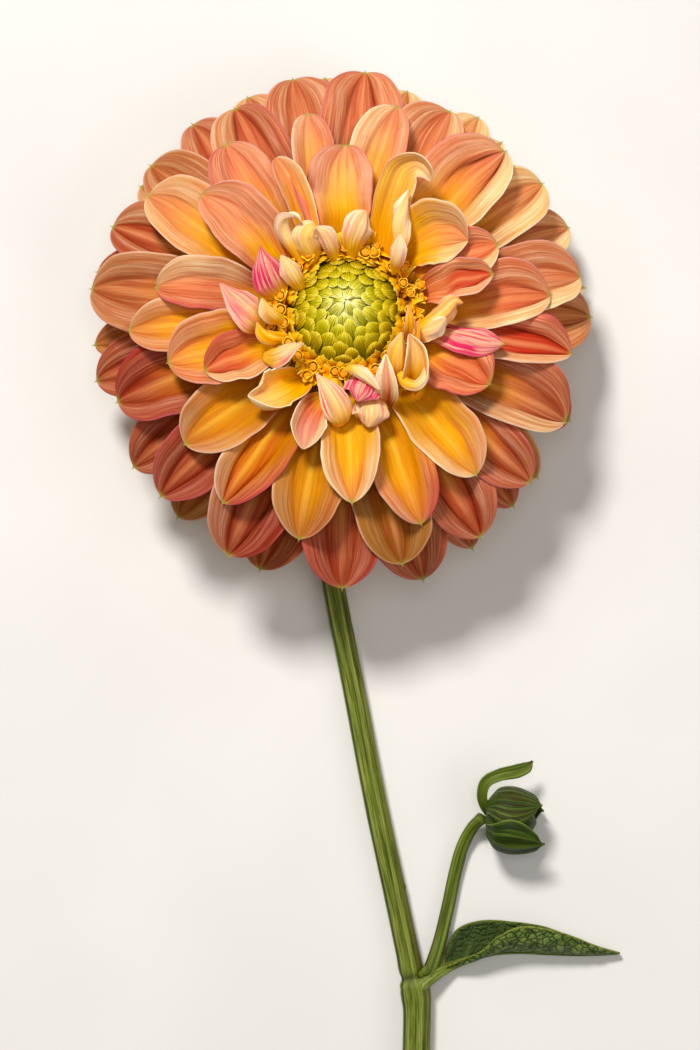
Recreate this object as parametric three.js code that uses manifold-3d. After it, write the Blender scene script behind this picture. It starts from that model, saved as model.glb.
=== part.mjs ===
// A single cut dahlia bloom, face up, with its stem, one leaf and one side bud,
// laid on a flat surface. Millimetres, +Z up, +Y from the cut end towards the bloom.
import * as THREE from 'three';
import Module from 'manifold-3d';

const wasm = await Module();
wasm.setup();

// ---------------------------------------------------------------- driving dimensions
const MM_PER_PX = 0.2;            // flower scale at mid height of the bloom
const EYE_HEIGHT = 1000;          // the flower is laid out as seen from this height
const MID_HEIGHT = 25;            // height at which MM_PER_PX holds
const FRAME_CX = 350, FRAME_CY = 525;   // middle of the outline plan
const DISC_PX = [345.5, 312];     // middle of the closed disc in the plan
const BLOOM_HEIGHT = 31.2;        // height of the disc's rim plane over the surface
const BLOOM_TILT = 11;            // degrees, the bloom faces slightly towards +Y
const DISC_RADIUS = 10.8;         // closed disc florets
const DISC_DOME = 4.6;            // height of the closed disc over its rim
const OPEN_RING = [11.3, 14.2];   // ring of open disc florets, inner and outer radius
const PETAL_THICK = 1.0;          // ray floret blade
const GAP = 0.33;                 // clearance between neighbouring pieces
const STEM_R = [2.2, 2.5, 2.9];   // neck, middle, below the leaf joint
const SHOOT_R = 1.25;             // side shoot that carries the bud
const LEAF_THICK = 0.8;
const SURFACE_CLEAR = 0.35;       // lowest height that a floret's keel comes down to
const ORIGIN_SHIFT = [1.42, -13.41, 0.026];   // plan centre of the whole flower, taken to the origin

// ---------------------------------------------------------------- small vector helpers
const add = (a, b) => [a[0] + b[0], a[1] + b[1], a[2] + b[2]];
const sub = (a, b) => [a[0] - b[0], a[1] - b[1], a[2] - b[2]];
const mul = (a, k) => [a[0] * k, a[1] * k, a[2] * k];
const cross = (a, b) => [a[1] * b[2] - a[2] * b[1], a[2] * b[0] - a[0] * b[2], a[0] * b[1] - a[1] * b[0]];
const len = (a) => Math.hypot(a[0], a[1], a[2]);
const unit = (a) => mul(a, 1 / (len(a) || 1));
const rad = (d) => d * Math.PI / 180;
const lerp = (a, b, t) => a + (b - a) * t;
const smooth = (t) => { t = Math.min(1, Math.max(0, t)); return t * t * (3 - 2 * t); };

// ---------------------------------------------------------------- plan to space
const scaleAt = (z) => MM_PER_PX * (EYE_HEIGHT - z) / (EYE_HEIGHT - MID_HEIGHT);
const planXY = (px, py, z) => [(px - FRAME_CX) * scaleAt(z), (FRAME_CY - py) * scaleAt(z), z];
const ST = Math.sin(rad(BLOOM_TILT)), CT = Math.cos(rad(BLOOM_TILT));
const BLOOM_C = planXY(DISC_PX[0], DISC_PX[1], BLOOM_HEIGHT);
// bloom frame: u to the right, v up the plan, w out of the disc
const toLocal = (p) => {
  const d = sub(p, BLOOM_C);
  return [d[0], d[1] * CT - d[2] * ST, d[1] * ST + d[2] * CT];
};
const planLocal = (px, py, w) => {          // point of the plan at bloom height w, over the surface
  let z = BLOOM_HEIGHT, q = [0, 0, 0];
  for (let k = 0; k < 12; k++) {
    if (z < SURFACE_CLEAR) w += SURFACE_CLEAR - z;
    const p = planXY(px, py, z);
    const v = ((p[1] - BLOOM_C[1]) - w * ST) / CT;
    q = [p[0] - BLOOM_C[0], v, w];
    z = BLOOM_C[2] - v * ST + w * CT;
  }
  return q;
};

// ---------------------------------------------------------------- closed solids from grids
function orient(pos, tri) {
  let vol = 0;
  for (let i = 0; i < tri.length; i += 3) {
    const a = pos[tri[i]], b = pos[tri[i + 1]], c = pos[tri[i + 2]];
    vol += a[0] * (b[1] * c[2] - b[2] * c[1]) - a[1] * (b[0] * c[2] - b[2] * c[0]) + a[2] * (b[0] * c[1] - b[1] * c[0]);
  }
  if (vol < 0) for (let i = 0; i < tri.length; i += 3) { const t = tri[i]; tri[i] = tri[i + 1]; tri[i + 1] = t; }
  return { pos, tri };
}
// two facing sheets of (n+1)x(m+1) points joined round their rim
function sheetSolid(top, bot) {
  const n = top.length - 1, m = top[0].length - 1, pos = [], tri = [];
  for (const s of [top, bot]) for (const row of s) for (const p of row) pos.push(p);
  const T = (i, j) => i * (m + 1) + j, B = (i, j) => (n + 1) * (m + 1) + i * (m + 1) + j;
  const quad = (a, b, c, d) => tri.push(a, b, c, a, c, d);
  for (let i = 0; i < n; i++) for (let j = 0; j < m; j++) {
    quad(T(i, j), T(i + 1, j), T(i + 1, j + 1), T(i, j + 1));
    quad(B(i, j), B(i, j + 1), B(i + 1, j + 1), B(i + 1, j));
  }
  for (let i = 0; i < n; i++) {
    quad(T(i, 0), B(i, 0), B(i + 1, 0), T(i + 1, 0));
    quad(T(i, m), T(i + 1, m), B(i + 1, m), B(i, m));
  }
  for (let j = 0; j < m; j++) {
    quad(T(0, j), T(0, j + 1), B(0, j + 1), B(0, j));
    quad(T(n, j), B(n, j), B(n, j + 1), T(n, j + 1));
  }
  return orient(pos, tri);
}
// rings of equal point count joined into a closed tube with fan caps
function ringSolid(rings) {
  const k = rings[0].length, pos = [], tri = [];
  for (const r of rings) for (const p of r) pos.push(p);
  for (let i = 0; i + 1 < rings.length; i++) for (let j = 0; j < k; j++) {
    const a = i * k + j, b = i * k + (j + 1) % k, c = b + k, d = a + k;
    tri.push(a, b, c, a, c, d);
  }
  const mid = (r) => mul(r.reduce((s, p) => add(s, p), [0, 0, 0]), 1 / k);
  const c0 = pos.length; pos.push(mid(rings[0]));
  const c1 = pos.length; pos.push(mid(rings[rings.length - 1]));
  const last = (rings.length - 1) * k;
  for (let j = 0; j < k; j++) {
    tri.push(c0, (j + 1) % k, j);
    tri.push(c1, last + j, last + (j + 1) % k);
  }
  return orient(pos, tri);
}
const solid = ({ pos, tri }) => new wasm.Manifold(new wasm.Mesh({
  numProp: 3, vertProperties: new Float32Array(pos.flat()), triVerts: new Uint32Array(tri),
}));
const largest = (m) => {
  const parts = m.decompose();
  let best = parts[0];
  for (const p of parts) if (p.volume() > best.volume()) best = p;
  return best;
};
const lathe = (prof, n, turn = 0) => ringSolid(prof.map(([r, w]) =>
  Array.from({ length: n }, (_, j) => {
    const a = 2 * Math.PI * j / n + turn;
    return [r * Math.cos(a), r * Math.sin(a), w];
  })));

// ---------------------------------------------------------------- one ray floret
// Blade from a narrow claw on the receptacle to a pointed tip. e0 and e1 are the
// slopes of the keel at claw and tip, cup the half angle of the cross-section arc
// at claw, middle and tip, turn the rotation of the blade about its keel.
const LEVEL = {
  small: { rB: 14.9, wB: -2.9, wT: 4.0, e0: 62, e1: 10, cup: [60, 45, 50], tm: 0.6 },
  inner: { rB: 14.9, wB: -4.6, wT: 1.5, e0: 40, e1: -14, cup: [66, 48, 64], tm: 0.62 },
  middle: { rB: 14.0, wB: -7.2, wT: -5.0, e0: 33, e1: -24, cup: [66, 42, 60], tm: 0.63 },
  outer: { rB: 12.4, wB: -9.8, wT: -12.5, e0: 20, e1: -34, cup: [66, 36, 52], tm: 0.64 },
  back: { rB: 10.2, wB: -12.3, wT: -20.5, e0: 2, e1: -44, cup: [60, 28, 40], tm: 0.62 },
};
const clawWidth = 0.24;
function petal(p) {
  const o = { ...LEVEL[p.level], ...p };
  const T = planLocal(o.tip[0], o.tip[1], o.wT);
  const azT = Math.atan2(T[1], T[0]);
  const az = o.az === undefined ? azT : rad(o.az);
  const B = [o.rB * Math.cos(az), o.rB * Math.sin(az), o.wB];
  const e = unit([T[0] - B[0], T[1] - B[1], 0]);
  const L = len(sub(T, B));
  const P1 = add(B, mul([e[0] * Math.cos(rad(o.e0)), e[1] * Math.cos(rad(o.e0)), Math.sin(rad(o.e0))], L * 0.38));
  const P2 = sub(T, mul([e[0] * Math.cos(rad(o.e1)), e[1] * Math.cos(rad(o.e1)), Math.sin(rad(o.e1))], L * 0.38));
  const S0 = [-e[1], e[0], 0];
  const turn = o.turn || [0, 0], bend = o.bend || 0;
  const wide = (s) => (s >= 0 ? o.hl : o.hr) * MM_PER_PX;
  const cup3 = (t) => (t < 0.5 ? lerp(o.cup[0], o.cup[1], smooth(t / 0.5)) : lerp(o.cup[1], o.cup[2], smooth((t - 0.5) / 0.5)));
  return (s, t, off, grow) => {
    const m = 1 - t;
    let P = add(add(mul(B, m * m * m), mul(P1, 3 * m * m * t)), add(mul(P2, 3 * m * t * t), mul(T, t * t * t)));
    let D = add(add(mul(sub(P1, B), 3 * m * m), mul(sub(P2, P1), 6 * m * t)), mul(sub(T, P2), 3 * t * t));
    D = unit(D);
    P = add(P, mul(S0, bend * 4 * t * m));
    const N0 = cross(D, S0), w = rad(lerp(turn[0], turn[1], smooth(t)));
    const S = add(mul(S0, Math.cos(w)), mul(N0, Math.sin(w)));
    const N = add(mul(S0, -Math.sin(w)), mul(N0, Math.cos(w)));
    const rise = clawWidth + (1 - clawWidth) * Math.pow(Math.sin(Math.PI / 2 * Math.min(1, t / o.tm)), 1.25);
    const x = Math.max(0, (t - o.tm) / (1 - o.tm));
    const h = Math.max(0.9, wide(s) * rise * Math.pow(Math.max(0, 1 - Math.pow(x, 2.5)), 0.62)) + grow;
    const f = rad(cup3(t)) * (1 + (o.skew || 0) * s);
    const a = f * s, w1 = Math.sin(f);       // h is the half width as seen from above the keel
    const xx = h / w1 * Math.sin(a);
    const zz = h / w1 * (1 - Math.cos(a));
    const nS = -Math.sin(a), nN = Math.cos(a);
    return add(P, add(mul(S, xx + nS * off), mul(N, zz + nN * off)));
  };
}
function petalSolid(p, nt, ns, extra = 0) {
  const f = petal(p), th = (p.thick || PETAL_THICK) / 2 + extra, top = [], bot = [];
  for (let i = 0; i <= nt; i++) {
    let t = Math.pow(i / nt, 0.9);
    const a = [], b = [];
    for (let j = 0; j <= ns; j++) {
      const s = -1 + 2 * j / ns;
      a.push(f(s, t, th, extra));
      b.push(f(s, t, -th, extra));
    }
    top.push(a); bot.push(b);
  }
  if (extra > 0) {       // lengthen the grown copy at the claw and the tip
    for (const g of [top, bot]) {
      for (const [i, k] of [[0, 1], [nt, nt - 1]]) for (let j = 0; j <= ns; j++) {
        const d = unit(sub(g[i][j], g[k][j]));
        g[i][j] = add(g[i][j], mul(d, extra));
      }
    }
  }
  return sheetSolid(top, bot);
}
// strip of the receptacle's rim that a fan of florets grows from
function band(az0, az1, r, w, th, extra = 0) {
  const n = Math.max(2, Math.round((az1 - az0) / 16)), rings = [];
  const h = th / 2 + extra;
  for (let i = 0; i <= n; i++) {
    const a = rad(lerp(az0, az1, i / n)) + (i === 0 ? -extra / r : i === n ? extra / r : 0);
    rings.push([[-h, -h], [h, -h], [h, h], [-h, h]].map(([dr, dw]) =>
      [(r + dr) * Math.cos(a), (r + dr) * Math.sin(a), w + dw]));
  }
  return ringSolid(rings);
}

// ---------------------------------------------------------------- the ray florets
// tip: where the tip lies in the plan; hl, hr: half widths left and right of the keel,
// looking outwards, in the plan's units; az: direction of the claw on the receptacle
// in degrees, where it isn't the tip's; wT: height of the tip in the bloom's frame
const RAYS = {
  middle_ray_01: { level: 'middle', tip: [397, 107], hl: 30, hr: 22, az: 84 },
  middle_ray_02: { level: 'middle', tip: [505, 152], hl: 44, hr: 32, az: 49, wT: -7 },
  middle_ray_03: { level: 'middle', tip: [550, 296], hl: 37, hr: 25, az: -3, cup: [66, 46, 62] },
  middle_ray_04: { level: 'middle', tip: [571, 354], hl: 31, hr: 20, az: -13, wT: -7, cup: [66, 55, 66] },
  middle_ray_05: { level: 'middle', tip: [476, 475], hl: 31, hr: 27, az: -53, cup: [66, 46, 62] },
  middle_ray_06: { level: 'middle', tip: [421, 524], hl: 31, hr: 27, az: -73, wT: -5.5 },
  middle_ray_07: { level: 'middle', tip: [299, 539], hl: 33, hr: 32, az: -104, wT: -6 },
  middle_ray_08: { level: 'middle', tip: [223, 503], hl: 31, hr: 26, az: -119, wT: -5.5, cup: [66, 50, 62] },
  middle_ray_09: { level: 'middle', tip: [185, 444], hl: 33, hr: 32, az: -133, wT: -5 },
  middle_ray_10: { level: 'middle', tip: [129, 330], hl: 28, hr: 26, az: -170, wT: -6 },
  middle_ray_11: { level: 'middle', tip: [156, 288], hl: 20, hr: 29, az: 167, wT: -2.5, cup: [66, 56, 70] },
  middle_ray_12: { level: 'middle', tip: [148, 196], hl: 29, hr: 37, az: 156, wT: -7 },
  middle_ray_13: { level: 'middle', tip: [226, 145], hl: 36, hr: 26, az: 134, wT: -4 },
  middle_ray_14: { level: 'middle', tip: [308, 114], hl: 21, hr: 19, az: 104, wT: -5, cup: [66, 64, 74] },
  outer_ray_01: { level: 'outer', tip: [365, 73], hl: 38, hr: 38, az: 86 },
  outer_ray_02: { level: 'outer', tip: [450, 112], hl: 42, hr: 28, az: 64, wT: -12 },
  outer_ray_03: { level: 'outer', tip: [542, 184], hl: 34, hr: 35, az: 37, wT: -12 },
  outer_ray_04: { level: 'outer', tip: [580, 277], hl: 36, hr: 33, az: 11, wT: -12 },
  outer_ray_05: { level: 'outer', tip: [565, 422], hl: 42, hr: 29, az: -29, wT: -11 },
  outer_ray_06: { level: 'outer', tip: [530, 482], hl: 27, hr: 33, az: -42, wT: -13 },
  outer_ray_07: { level: 'outer', tip: [480, 537], hl: 36, hr: 33, az: -57, wT: -13.5 },
  outer_ray_08: { level: 'outer', tip: [402, 564], hl: 38, hr: 34, az: -79, wT: -12 },
  outer_ray_09: { level: 'outer', tip: [342, 588], hl: 38, hr: 39, az: -92, wT: -15 },
  outer_ray_10: { level: 'outer', tip: [228, 555], hl: 40, hr: 37, az: -117, wT: -13 },
  outer_ray_11: { level: 'outer', tip: [161, 496], hl: 32, hr: 33, az: -134, wT: -13 },
  outer_ray_12: { level: 'outer', tip: [118, 402], hl: 36, hr: 38, az: -153, wT: -12 },
  outer_ray_13: { level: 'outer', tip: [92, 289], hl: 41, hr: 36, az: 176, wT: -13 },
  outer_ray_14: { level: 'outer', tip: [113, 227], hl: 30, hr: 36, az: 160, wT: -15 },
  outer_ray_15: { level: 'outer', tip: [151, 166], hl: 33, hr: 34, az: 144, wT: -15 },
  outer_ray_16: { level: 'outer', tip: [193, 125], hl: 32, hr: 30, az: 130, wT: -16 },
  outer_ray_17: { level: 'outer', tip: [235, 109], hl: 40, hr: 30, az: 118, wT: -11.5 },
  outer_ray_18: { level: 'outer', tip: [293, 80], hl: 35, hr: 38, az: 102, wT: -14 },
  inner_ray_01: { level: 'inner', tip: [346, 145], hl: 36, hr: 26, az: 91, wT: 1.0 },
  inner_ray_02: { level: 'inner', tip: [467, 240], hl: 27, hr: 27, az: 33, wT: 3.0, cup: [66, 56, 66], turn: [150, 180] },
  inner_ray_03: { level: 'inner', tip: [490, 384], hl: 34, hr: 31, az: -23, wT: 0.5, cup: [60, 40, 60] },
  inner_ray_04: { level: 'inner', tip: [352, 503], hl: 27, hr: 27, az: -88, wT: 0.0, cup: [66, 54, 66] },
  inner_ray_05: { level: 'inner', tip: [168, 363], hl: 34, hr: 34, az: -160, wT: -1.0 },
  inner_ray_06: { level: 'inner', tip: [201, 195], hl: 22, hr: 36, az: 147, wT: 1.0 },
};
const BACK_FANS = {
  back_rays_right: { az: [-30, 42], rays: [
    { tip: [568, 228], hl: 32, hr: 32, wT: -18 },
    { tip: [590, 317], hl: 34, hr: 44, wT: -18 },
    { tip: [569, 420], hl: 32, hr: 32, wT: -19 },
    { tip: [584, 288], hl: 22, hr: 22, wT: -25 },
    { tip: [530, 178], hl: 28, hr: 28, wT: -23 },
  ] },
  back_rays_bottom: { az: [-122, -40], rays: [
    { tip: [423, 579], hl: 38, hr: 42, wT: -19 },
    { tip: [260, 569], hl: 40, hr: 34, wT: -19 },
    { tip: [537, 477], hl: 27, hr: 27, wT: -24 },
    { tip: [513, 506], hl: 27, hr: 27, wT: -18 },
    { tip: [472, 548], hl: 26, hr: 26, wT: -25 },
    { tip: [335, 578], hl: 30, hr: 30, wT: -24 },
  ] },
  back_rays_left: { az: [145, 230], rays: [
    { tip: [134, 467], hl: 32, hr: 34, wT: -17 },
    { tip: [97, 381], hl: 32, hr: 34, wT: -19 },
    { tip: [95, 345], hl: 25, hr: 25, wT: -25 },
    { tip: [98, 272], hl: 28, hr: 30, wT: -20 },
    { tip: [178, 517], hl: 32, hr: 30, wT: -22 },
    { tip: [141, 187], hl: 28, hr: 30, wT: -22 },
  ] },
  back_rays_top: { az: [52, 132], rays: [
    { tip: [478, 118], hl: 30, hr: 30, wT: -18 },
    { tip: [501, 143], hl: 24, hr: 24, wT: -25 },
    { tip: [407, 92], hl: 30, hr: 30, wT: -20 },
    { tip: [325, 79], hl: 32, hr: 32, wT: -19 },
    { tip: [248, 98], hl: 32, hr: 32, wT: -20 },
  ] },
};
const SMALL_FANS = {
  small_rays_top: { az: [52, 124], rays: [
    { level: 'inner', tip: [274, 156], hl: 14, hr: 14, az: 112, wT: 2, cup: [70, 70, 80] },
    { level: 'inner', tip: [428, 181], hl: 18, hr: 18, az: 64, wT: 2, cup: [70, 60, 80] },
    { tip: [318, 226], hl: 17, hr: 17, az: 101, wT: 6, turn: [170, 180] },
    { tip: [362, 212], hl: 15, hr: 15, az: 80, wT: 6, turn: [170, 180] },
    { tip: [289, 219], hl: 15, hr: 15, az: 117, wT: 5 },
    { tip: [402, 238], hl: 10, hr: 10, az: 60, wT: 6, turn: [170, 180] },
  ] },
  small_rays_right: { az: [-20, 46], rays: [
    { level: 'inner', tip: [493, 274], hl: 20, hr: 18, az: 15, wT: 3, cup: [70, 62, 70] },
    { level: 'inner', tip: [498, 245], hl: 26, hr: 24, az: 27, wT: 0 },
    { level: 'inner', tip: [504, 344], hl: 17, hr: 17, az: -10, wT: 3, turn: [120, 170] },
    { tip: [459, 303], hl: 11, hr: 11, az: 4, wT: 3 },
  ] },
  small_rays_bottom: { az: [-118, -38], rays: [
    { tip: [418, 352], hl: 16, hr: 16, az: -36, wT: 6 },
    { tip: [386, 360], hl: 13, hr: 13, az: -52, wT: 7, turn: [160, 180] },
    { tip: [366, 388], hl: 15, hr: 15, az: -70, wT: 6, turn: [160, 180] },
    { tip: [318, 380], hl: 15, hr: 15, az: -106, wT: 6, turn: [160, 180] },
    { tip: [384, 420], hl: 17, hr: 17, az: -72, wT: 2, turn: [160, 180] },
    { level: 'inner', tip: [300, 450], hl: 16, hr: 16, az: -110, wT: 2, cup: [70, 70, 80] },
  ] },
  small_rays_left: { az: [140, 220], rays: [
    { level: 'inner', tip: [205, 371], hl: 25, hr: 23, az: -155, wT: 1, cup: [66, 60, 72] },
    { level: 'inner', tip: [246, 400], hl: 24, hr: 24, az: -135, wT: 3, cup: [66, 64, 80] },
    { tip: [222, 283], hl: 24, hr: 24, az: 168, wT: 3, turn: [160, 180] },
    { tip: [258, 250], hl: 20, hr: 20, az: 146, wT: 5, turn: [160, 180] },
    { tip: [264, 318], hl: 10, hr: 10, az: -176, wT: 5 },
    { tip: [270, 348], hl: 13, hr: 13, az: -158, wT: 5 },
  ] },
};

// ---------------------------------------------------------------- build order and clearances
const placed = [];       // grown copies of everything already placed, in the bloom frame
const boxOf = (pos) => {
  const lo = [1e9, 1e9, 1e9], hi = [-1e9, -1e9, -1e9];
  for (const p of pos) for (let k = 0; k < 3; k++) { lo[k] = Math.min(lo[k], p[k]); hi[k] = Math.max(hi[k], p[k]); }
  return [lo, hi];
};
const meets = (a, b) => [0, 1, 2].every((k) => a[0][k] < b[1][k] && b[0][k] < a[1][k]);
function carve(raw, m) {                 // keep clear of everything placed before
  const bx = boxOf(raw);
  for (const q of placed) if (meets(bx, q.box)) m = m.subtract(q.fat);
  return largest(m);
}
function settle(fatShapes) {
  for (const s of fatShapes) placed.push({ fat: solid(s), box: boxOf(s.pos) });
}

const bloom = new THREE.Group();
bloom.position.set(...BLOOM_C);
bloom.rotation.x = -rad(BLOOM_TILT);
const flower = new THREE.Group();
const all = new THREE.Group();
all.add(flower);
flower.add(bloom);
flower.position.set(-ORIGIN_SHIFT[0], -ORIGIN_SHIFT[1], -ORIGIN_SHIFT[2]);

function addMesh(group, name, manifold, colour, roughness) {
  const mesh = manifold.getMesh();
  const g = new THREE.BufferGeometry();
  const n = mesh.numProp, src = mesh.vertProperties, pos = new Float32Array(src.length / n * 3);
  for (let i = 0; i < src.length / n; i++) for (let k = 0; k < 3; k++) pos[i * 3 + k] = src[i * n + k];
  g.setAttribute('position', new THREE.BufferAttribute(pos, 3));
  g.setIndex(new THREE.BufferAttribute(new Uint32Array(mesh.triVerts), 1));
  g.computeVertexNormals();
  const m = new THREE.Mesh(g, new THREE.MeshStandardMaterial({ color: colour, roughness, metalness: 0 }));
  m.name = name;
  group.add(m);
  return m;
}

// receptacle: the fleshy cone that every floret and bract stands on
const RECEPT = [[0.6, -1.6], [9.5, -1.7], [13.6, -2.3], [13.9, -3.6], [12.6, -7.4], [10.4, -10.4], [7.4, -13.2], [4.6, -15.2], [2.5, -16.4], [0.6, -16.5]];
const grow = (prof, d) => prof.map(([r, w], i) => [r + (i === 0 || i === prof.length - 1 ? 0 : d), w + (i < 3 ? d : i > prof.length - 3 ? -d : 0)]);
{
  addMesh(bloom, 'receptacle', solid(lathe(RECEPT, 16)), 0x7d8f2a, 0.6);
  settle([lathe(grow(RECEPT, GAP), 16)]);
}

// main stem and its neck, bent from the bloom's back down to the surface
const stemPath = [];
{
  const back = add(BLOOM_C, mul([0, ST, CT], -16.9));
  stemPath.push(back);
  stemPath.push(add(BLOOM_C, mul([0, ST, CT], -20.0)));
  stemPath.push([BLOOM_C[0] - 0.5, BLOOM_C[1] - 5.6, 8.0]);
  stemPath.push([BLOOM_C[0] - 1.2, BLOOM_C[1] - 9.4, 4.4]);
  stemPath.push([BLOOM_C[0] - 2.4, BLOOM_C[1] - 15.0, 2.75]);
  stemPath.push([BLOOM_C[0] - 4.6, BLOOM_C[1] - 26, 2.35]);
  stemPath.push([BLOOM_C[0] - 4.9, BLOOM_C[1] - 40, 2.3]);
  for (const [px, py, z] of [[333.5, 585, 2.3], [354, 690, 2.4], [375, 800, 2.5], [396.5, 900, 2.6], [411.5, 972, 2.9], [416.5, 1000, 3.0], [416.5, 1050, 2.95], [416.5, 1108, 2.95]]) stemPath.push(planXY(px, py, z));
}
const stemCurve = new THREE.CatmullRomCurve3(stemPath.map((p) => new THREE.Vector3(...p)), false, 'centripetal');
function tube(curve, steps, sides, radius, t0 = 0, t1 = 1) {
  const rings = [];
  let S = null;
  for (let i = 0; i <= steps; i++) {
    const t = lerp(t0, t1, i / steps), c = curve.getPointAt(t), d = curve.getTangentAt(t);
    const D = [d.x, d.y, d.z];
    if (!S) S = unit(cross(D, Math.abs(D[0]) < 0.8 ? [1, 0, 0] : [0, 1, 0]));
    S = unit(sub(S, mul(D, S[0] * D[0] + S[1] * D[1] + S[2] * D[2])));
    const N = cross(D, S), r = radius(t);
    rings.push(Array.from({ length: sides }, (_, j) => {
      const a = 2 * Math.PI * (j + 0.5) / sides;
      return add([c.x, c.y, c.z], add(mul(S, r * Math.cos(a)), mul(N, r * Math.sin(a))));
    }));
  }
  return ringSolid(rings);
}
const nodeT = (() => {       // where the leaf joint sits along the stem
  const target = planXY(412, 978, 2.9);
  let best = 0, bd = 1e9;
  for (let i = 0; i <= 400; i++) { const c = stemCurve.getPointAt(i / 400), d = Math.hypot(c.x - target[0], c.y - target[1]); if (d < bd) { bd = d; best = i / 400; } }
  return best;
})();
const stemRadius = (grow2 = 0) => (t) => {
  const base = t < 0.25 ? lerp(STEM_R[0], STEM_R[0] + 0.05, t / 0.25) : t < nodeT ? lerp(STEM_R[0] + 0.05, STEM_R[1], (t - 0.25) / (nodeT - 0.25)) : STEM_R[2];
  const swell = 0.35 * Math.exp(-Math.pow((t - nodeT) / 0.012, 2));
  return Math.min(base + swell, 3.05) + grow2;
};
{
  const main = solid(tube(stemCurve, 28, 8, stemRadius()));
  addMesh(flower, 'main_stem', largest(main), 0x6f7f2c, 0.55);
}
const stemFat = tube(stemCurve, 28, 8, stemRadius(GAP));

// involucre: the green bracts under the bloom
{
  const ring = (extra) => {
    const prof = [[7.9 - 0 + extra, -13.6 + extra], [8.9 + extra, -14.6], [7.4 + extra, -16.2 - extra], [4.6 - extra, -16.9 - extra], [5.4 - extra, -15.3], [7.2 - extra, -13.9 + extra]];
    // closed ring swept round the axis
    const n = 12, k = prof.length, pos = [], tri = [];
    for (let i = 0; i < n; i++) for (const [r, w] of prof) { const a = 2 * Math.PI * i / n; pos.push([r * Math.cos(a), r * Math.sin(a), w]); }
    for (let i = 0; i < n; i++) for (let j = 0; j < k; j++) {
      const a = i * k + j, b = i * k + (j + 1) % k, c = ((i + 1) % n) * k + (j + 1) % k, d = ((i + 1) % n) * k + j;
      tri.push(a, b, c, a, c, d);
    }
    return orient(pos, tri);
  };
  let m = solid(ring(0));
  const fatAll = [ring(GAP)];
  const leafOf = (azd, extra) => {
    const az = rad(azd), e = [Math.cos(az), Math.sin(az), 0], S = [-e[1], e[0], 0];
    const prof = [[7.6, -15.1, 1.7], [10.4, -16.6, 2.6], [13.4, -19.0, 3.0], [16.0, -22.2, 2.3], [17.6, -25.4, 0.5]];
    const top = [], bot = [];
    for (const [r, w, h] of prof) {
      const a = [], b = [];
      for (const s of [-1, 0, 1]) {
        const c = add(add(mul(e, r), mul(S, s * (h + extra))), [0, 0, w + 0.5 * s * s]);
        a.push(add(c, mul(unit([e[0], e[1], 0.9]), 0.5 + extra)));
        b.push(add(c, mul(unit([e[0], e[1], 0.9]), -0.5 - extra)));
      }
      top.push(a); bot.push(b);
    }
    return sheetSolid(top, bot);
  };
  for (const azd of [18, 90, 162, 226, 314]) {
    m = m.add(solid(leafOf(azd, 0)));
    fatAll.push(leafOf(azd, GAP));
  }
  m = m.subtract(placed[0].fat);
  const inv = solid({ pos: stemFat.pos.map(toLocal), tri: stemFat.tri.slice() });
  m = m.subtract(inv);
  addMesh(bloom, 'involucre_bracts', largest(m), 0x6d8a25, 0.55);
  settle(fatAll);
  settle([{ pos: stemFat.pos.map(toLocal), tri: stemFat.tri.slice() }]);
}

// disc: the closed florets packed under their scales, then the ring of open ones
{
  const R = DISC_RADIUS, D = DISC_DOME;
  const prof = [[0.5, D], [2.6, D - 0.25], [5.2, D - 1.1], [7.6, D - 2.3], [9.6, D - 3.9], [R, D - 5.6], [R - 0.3, -1.25], [0.5, -1.25]];
  addMesh(bloom, 'disc_florets_closed', solid(lathe(prof, 16)), 0x9aa51e, 0.55);
  settle([lathe(prof.map(([r, w], i) => [r + (i > 0 && i < 7 ? GAP : 0), w + (i < 5 ? GAP : 0)]), 16)]);
  // crown of open florets: one ring with a notched top
  const n = 28, k = 4;
  const ringOf = (extra) => {
    const P = [], Tt = [];
    for (let i = 0; i < n; i++) {
      const a = 2 * Math.PI * i / n, hi = (i % 2 ? 0.6 : 2.2) + 0.7 * Math.sin(5 * a + 1);
      for (const [r, w] of [[OPEN_RING[0] - extra, -1.2 - extra], [OPEN_RING[1] + extra, -1.7 - extra], [OPEN_RING[1] + 0.3 + extra, hi + extra], [OPEN_RING[0] + 0.3 - extra, hi - 0.3 + extra]]) P.push([r * Math.cos(a), r * Math.sin(a), w]);
    }
    for (let i = 0; i < n; i++) for (let j = 0; j < k; j++) {
      const a = i * k + j, b = i * k + (j + 1) % k, c = ((i + 1) % n) * k + (j + 1) % k, d = ((i + 1) % n) * k + j;
      Tt.push(a, b, c, a, c, d);
    }
    return orient(P, Tt);
  };
  let m = solid(ringOf(0));
  for (const q of placed) m = m.subtract(q.fat);
  addMesh(bloom, 'disc_florets_open', largest(m), 0xe08a12, 0.6);
  settle([ringOf(GAP)]);
}

const PETAL_RGB = { middle: 0xe08a3c, outer: 0xc96a3c, back: 0xc89a55, inner: 0xf0a060, small: 0xf3b08a };

// fans of florets that share one strip of the receptacle
function fan(name, spec, level, r, w, nt, ns) {
  let m = solid(band(spec.az[0], spec.az[1], r, w, 1.3));
  const raws = [band(spec.az[0], spec.az[1], r, w, 1.3)];
  const fats = [band(spec.az[0], spec.az[1], r, w, 1.3, GAP)];
  for (const q of spec.rays) {
    const p = { level, rB: r, wB: w, ...q };
    p.rB = r; p.wB = w;
    const raw = petalSolid(p, nt, ns);
    raws.push(raw);
    m = m.add(solid(raw));
    fats.push(petalSolid(p, nt, ns, GAP));
  }
  const pos = raws.flatMap((x) => x.pos);
  m = carve(pos, m);
  addMesh(bloom, name, m, PETAL_RGB[level], 0.6);
  settle(fats);
}
for (const [name, spec] of Object.entries(BACK_FANS)) fan(name, spec, 'back', 10.1, -12.4, 4, 2);
for (const [name, spec] of Object.entries(SMALL_FANS)) fan(name, spec, 'small', 15.6, -3.6, 3, 2);
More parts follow.
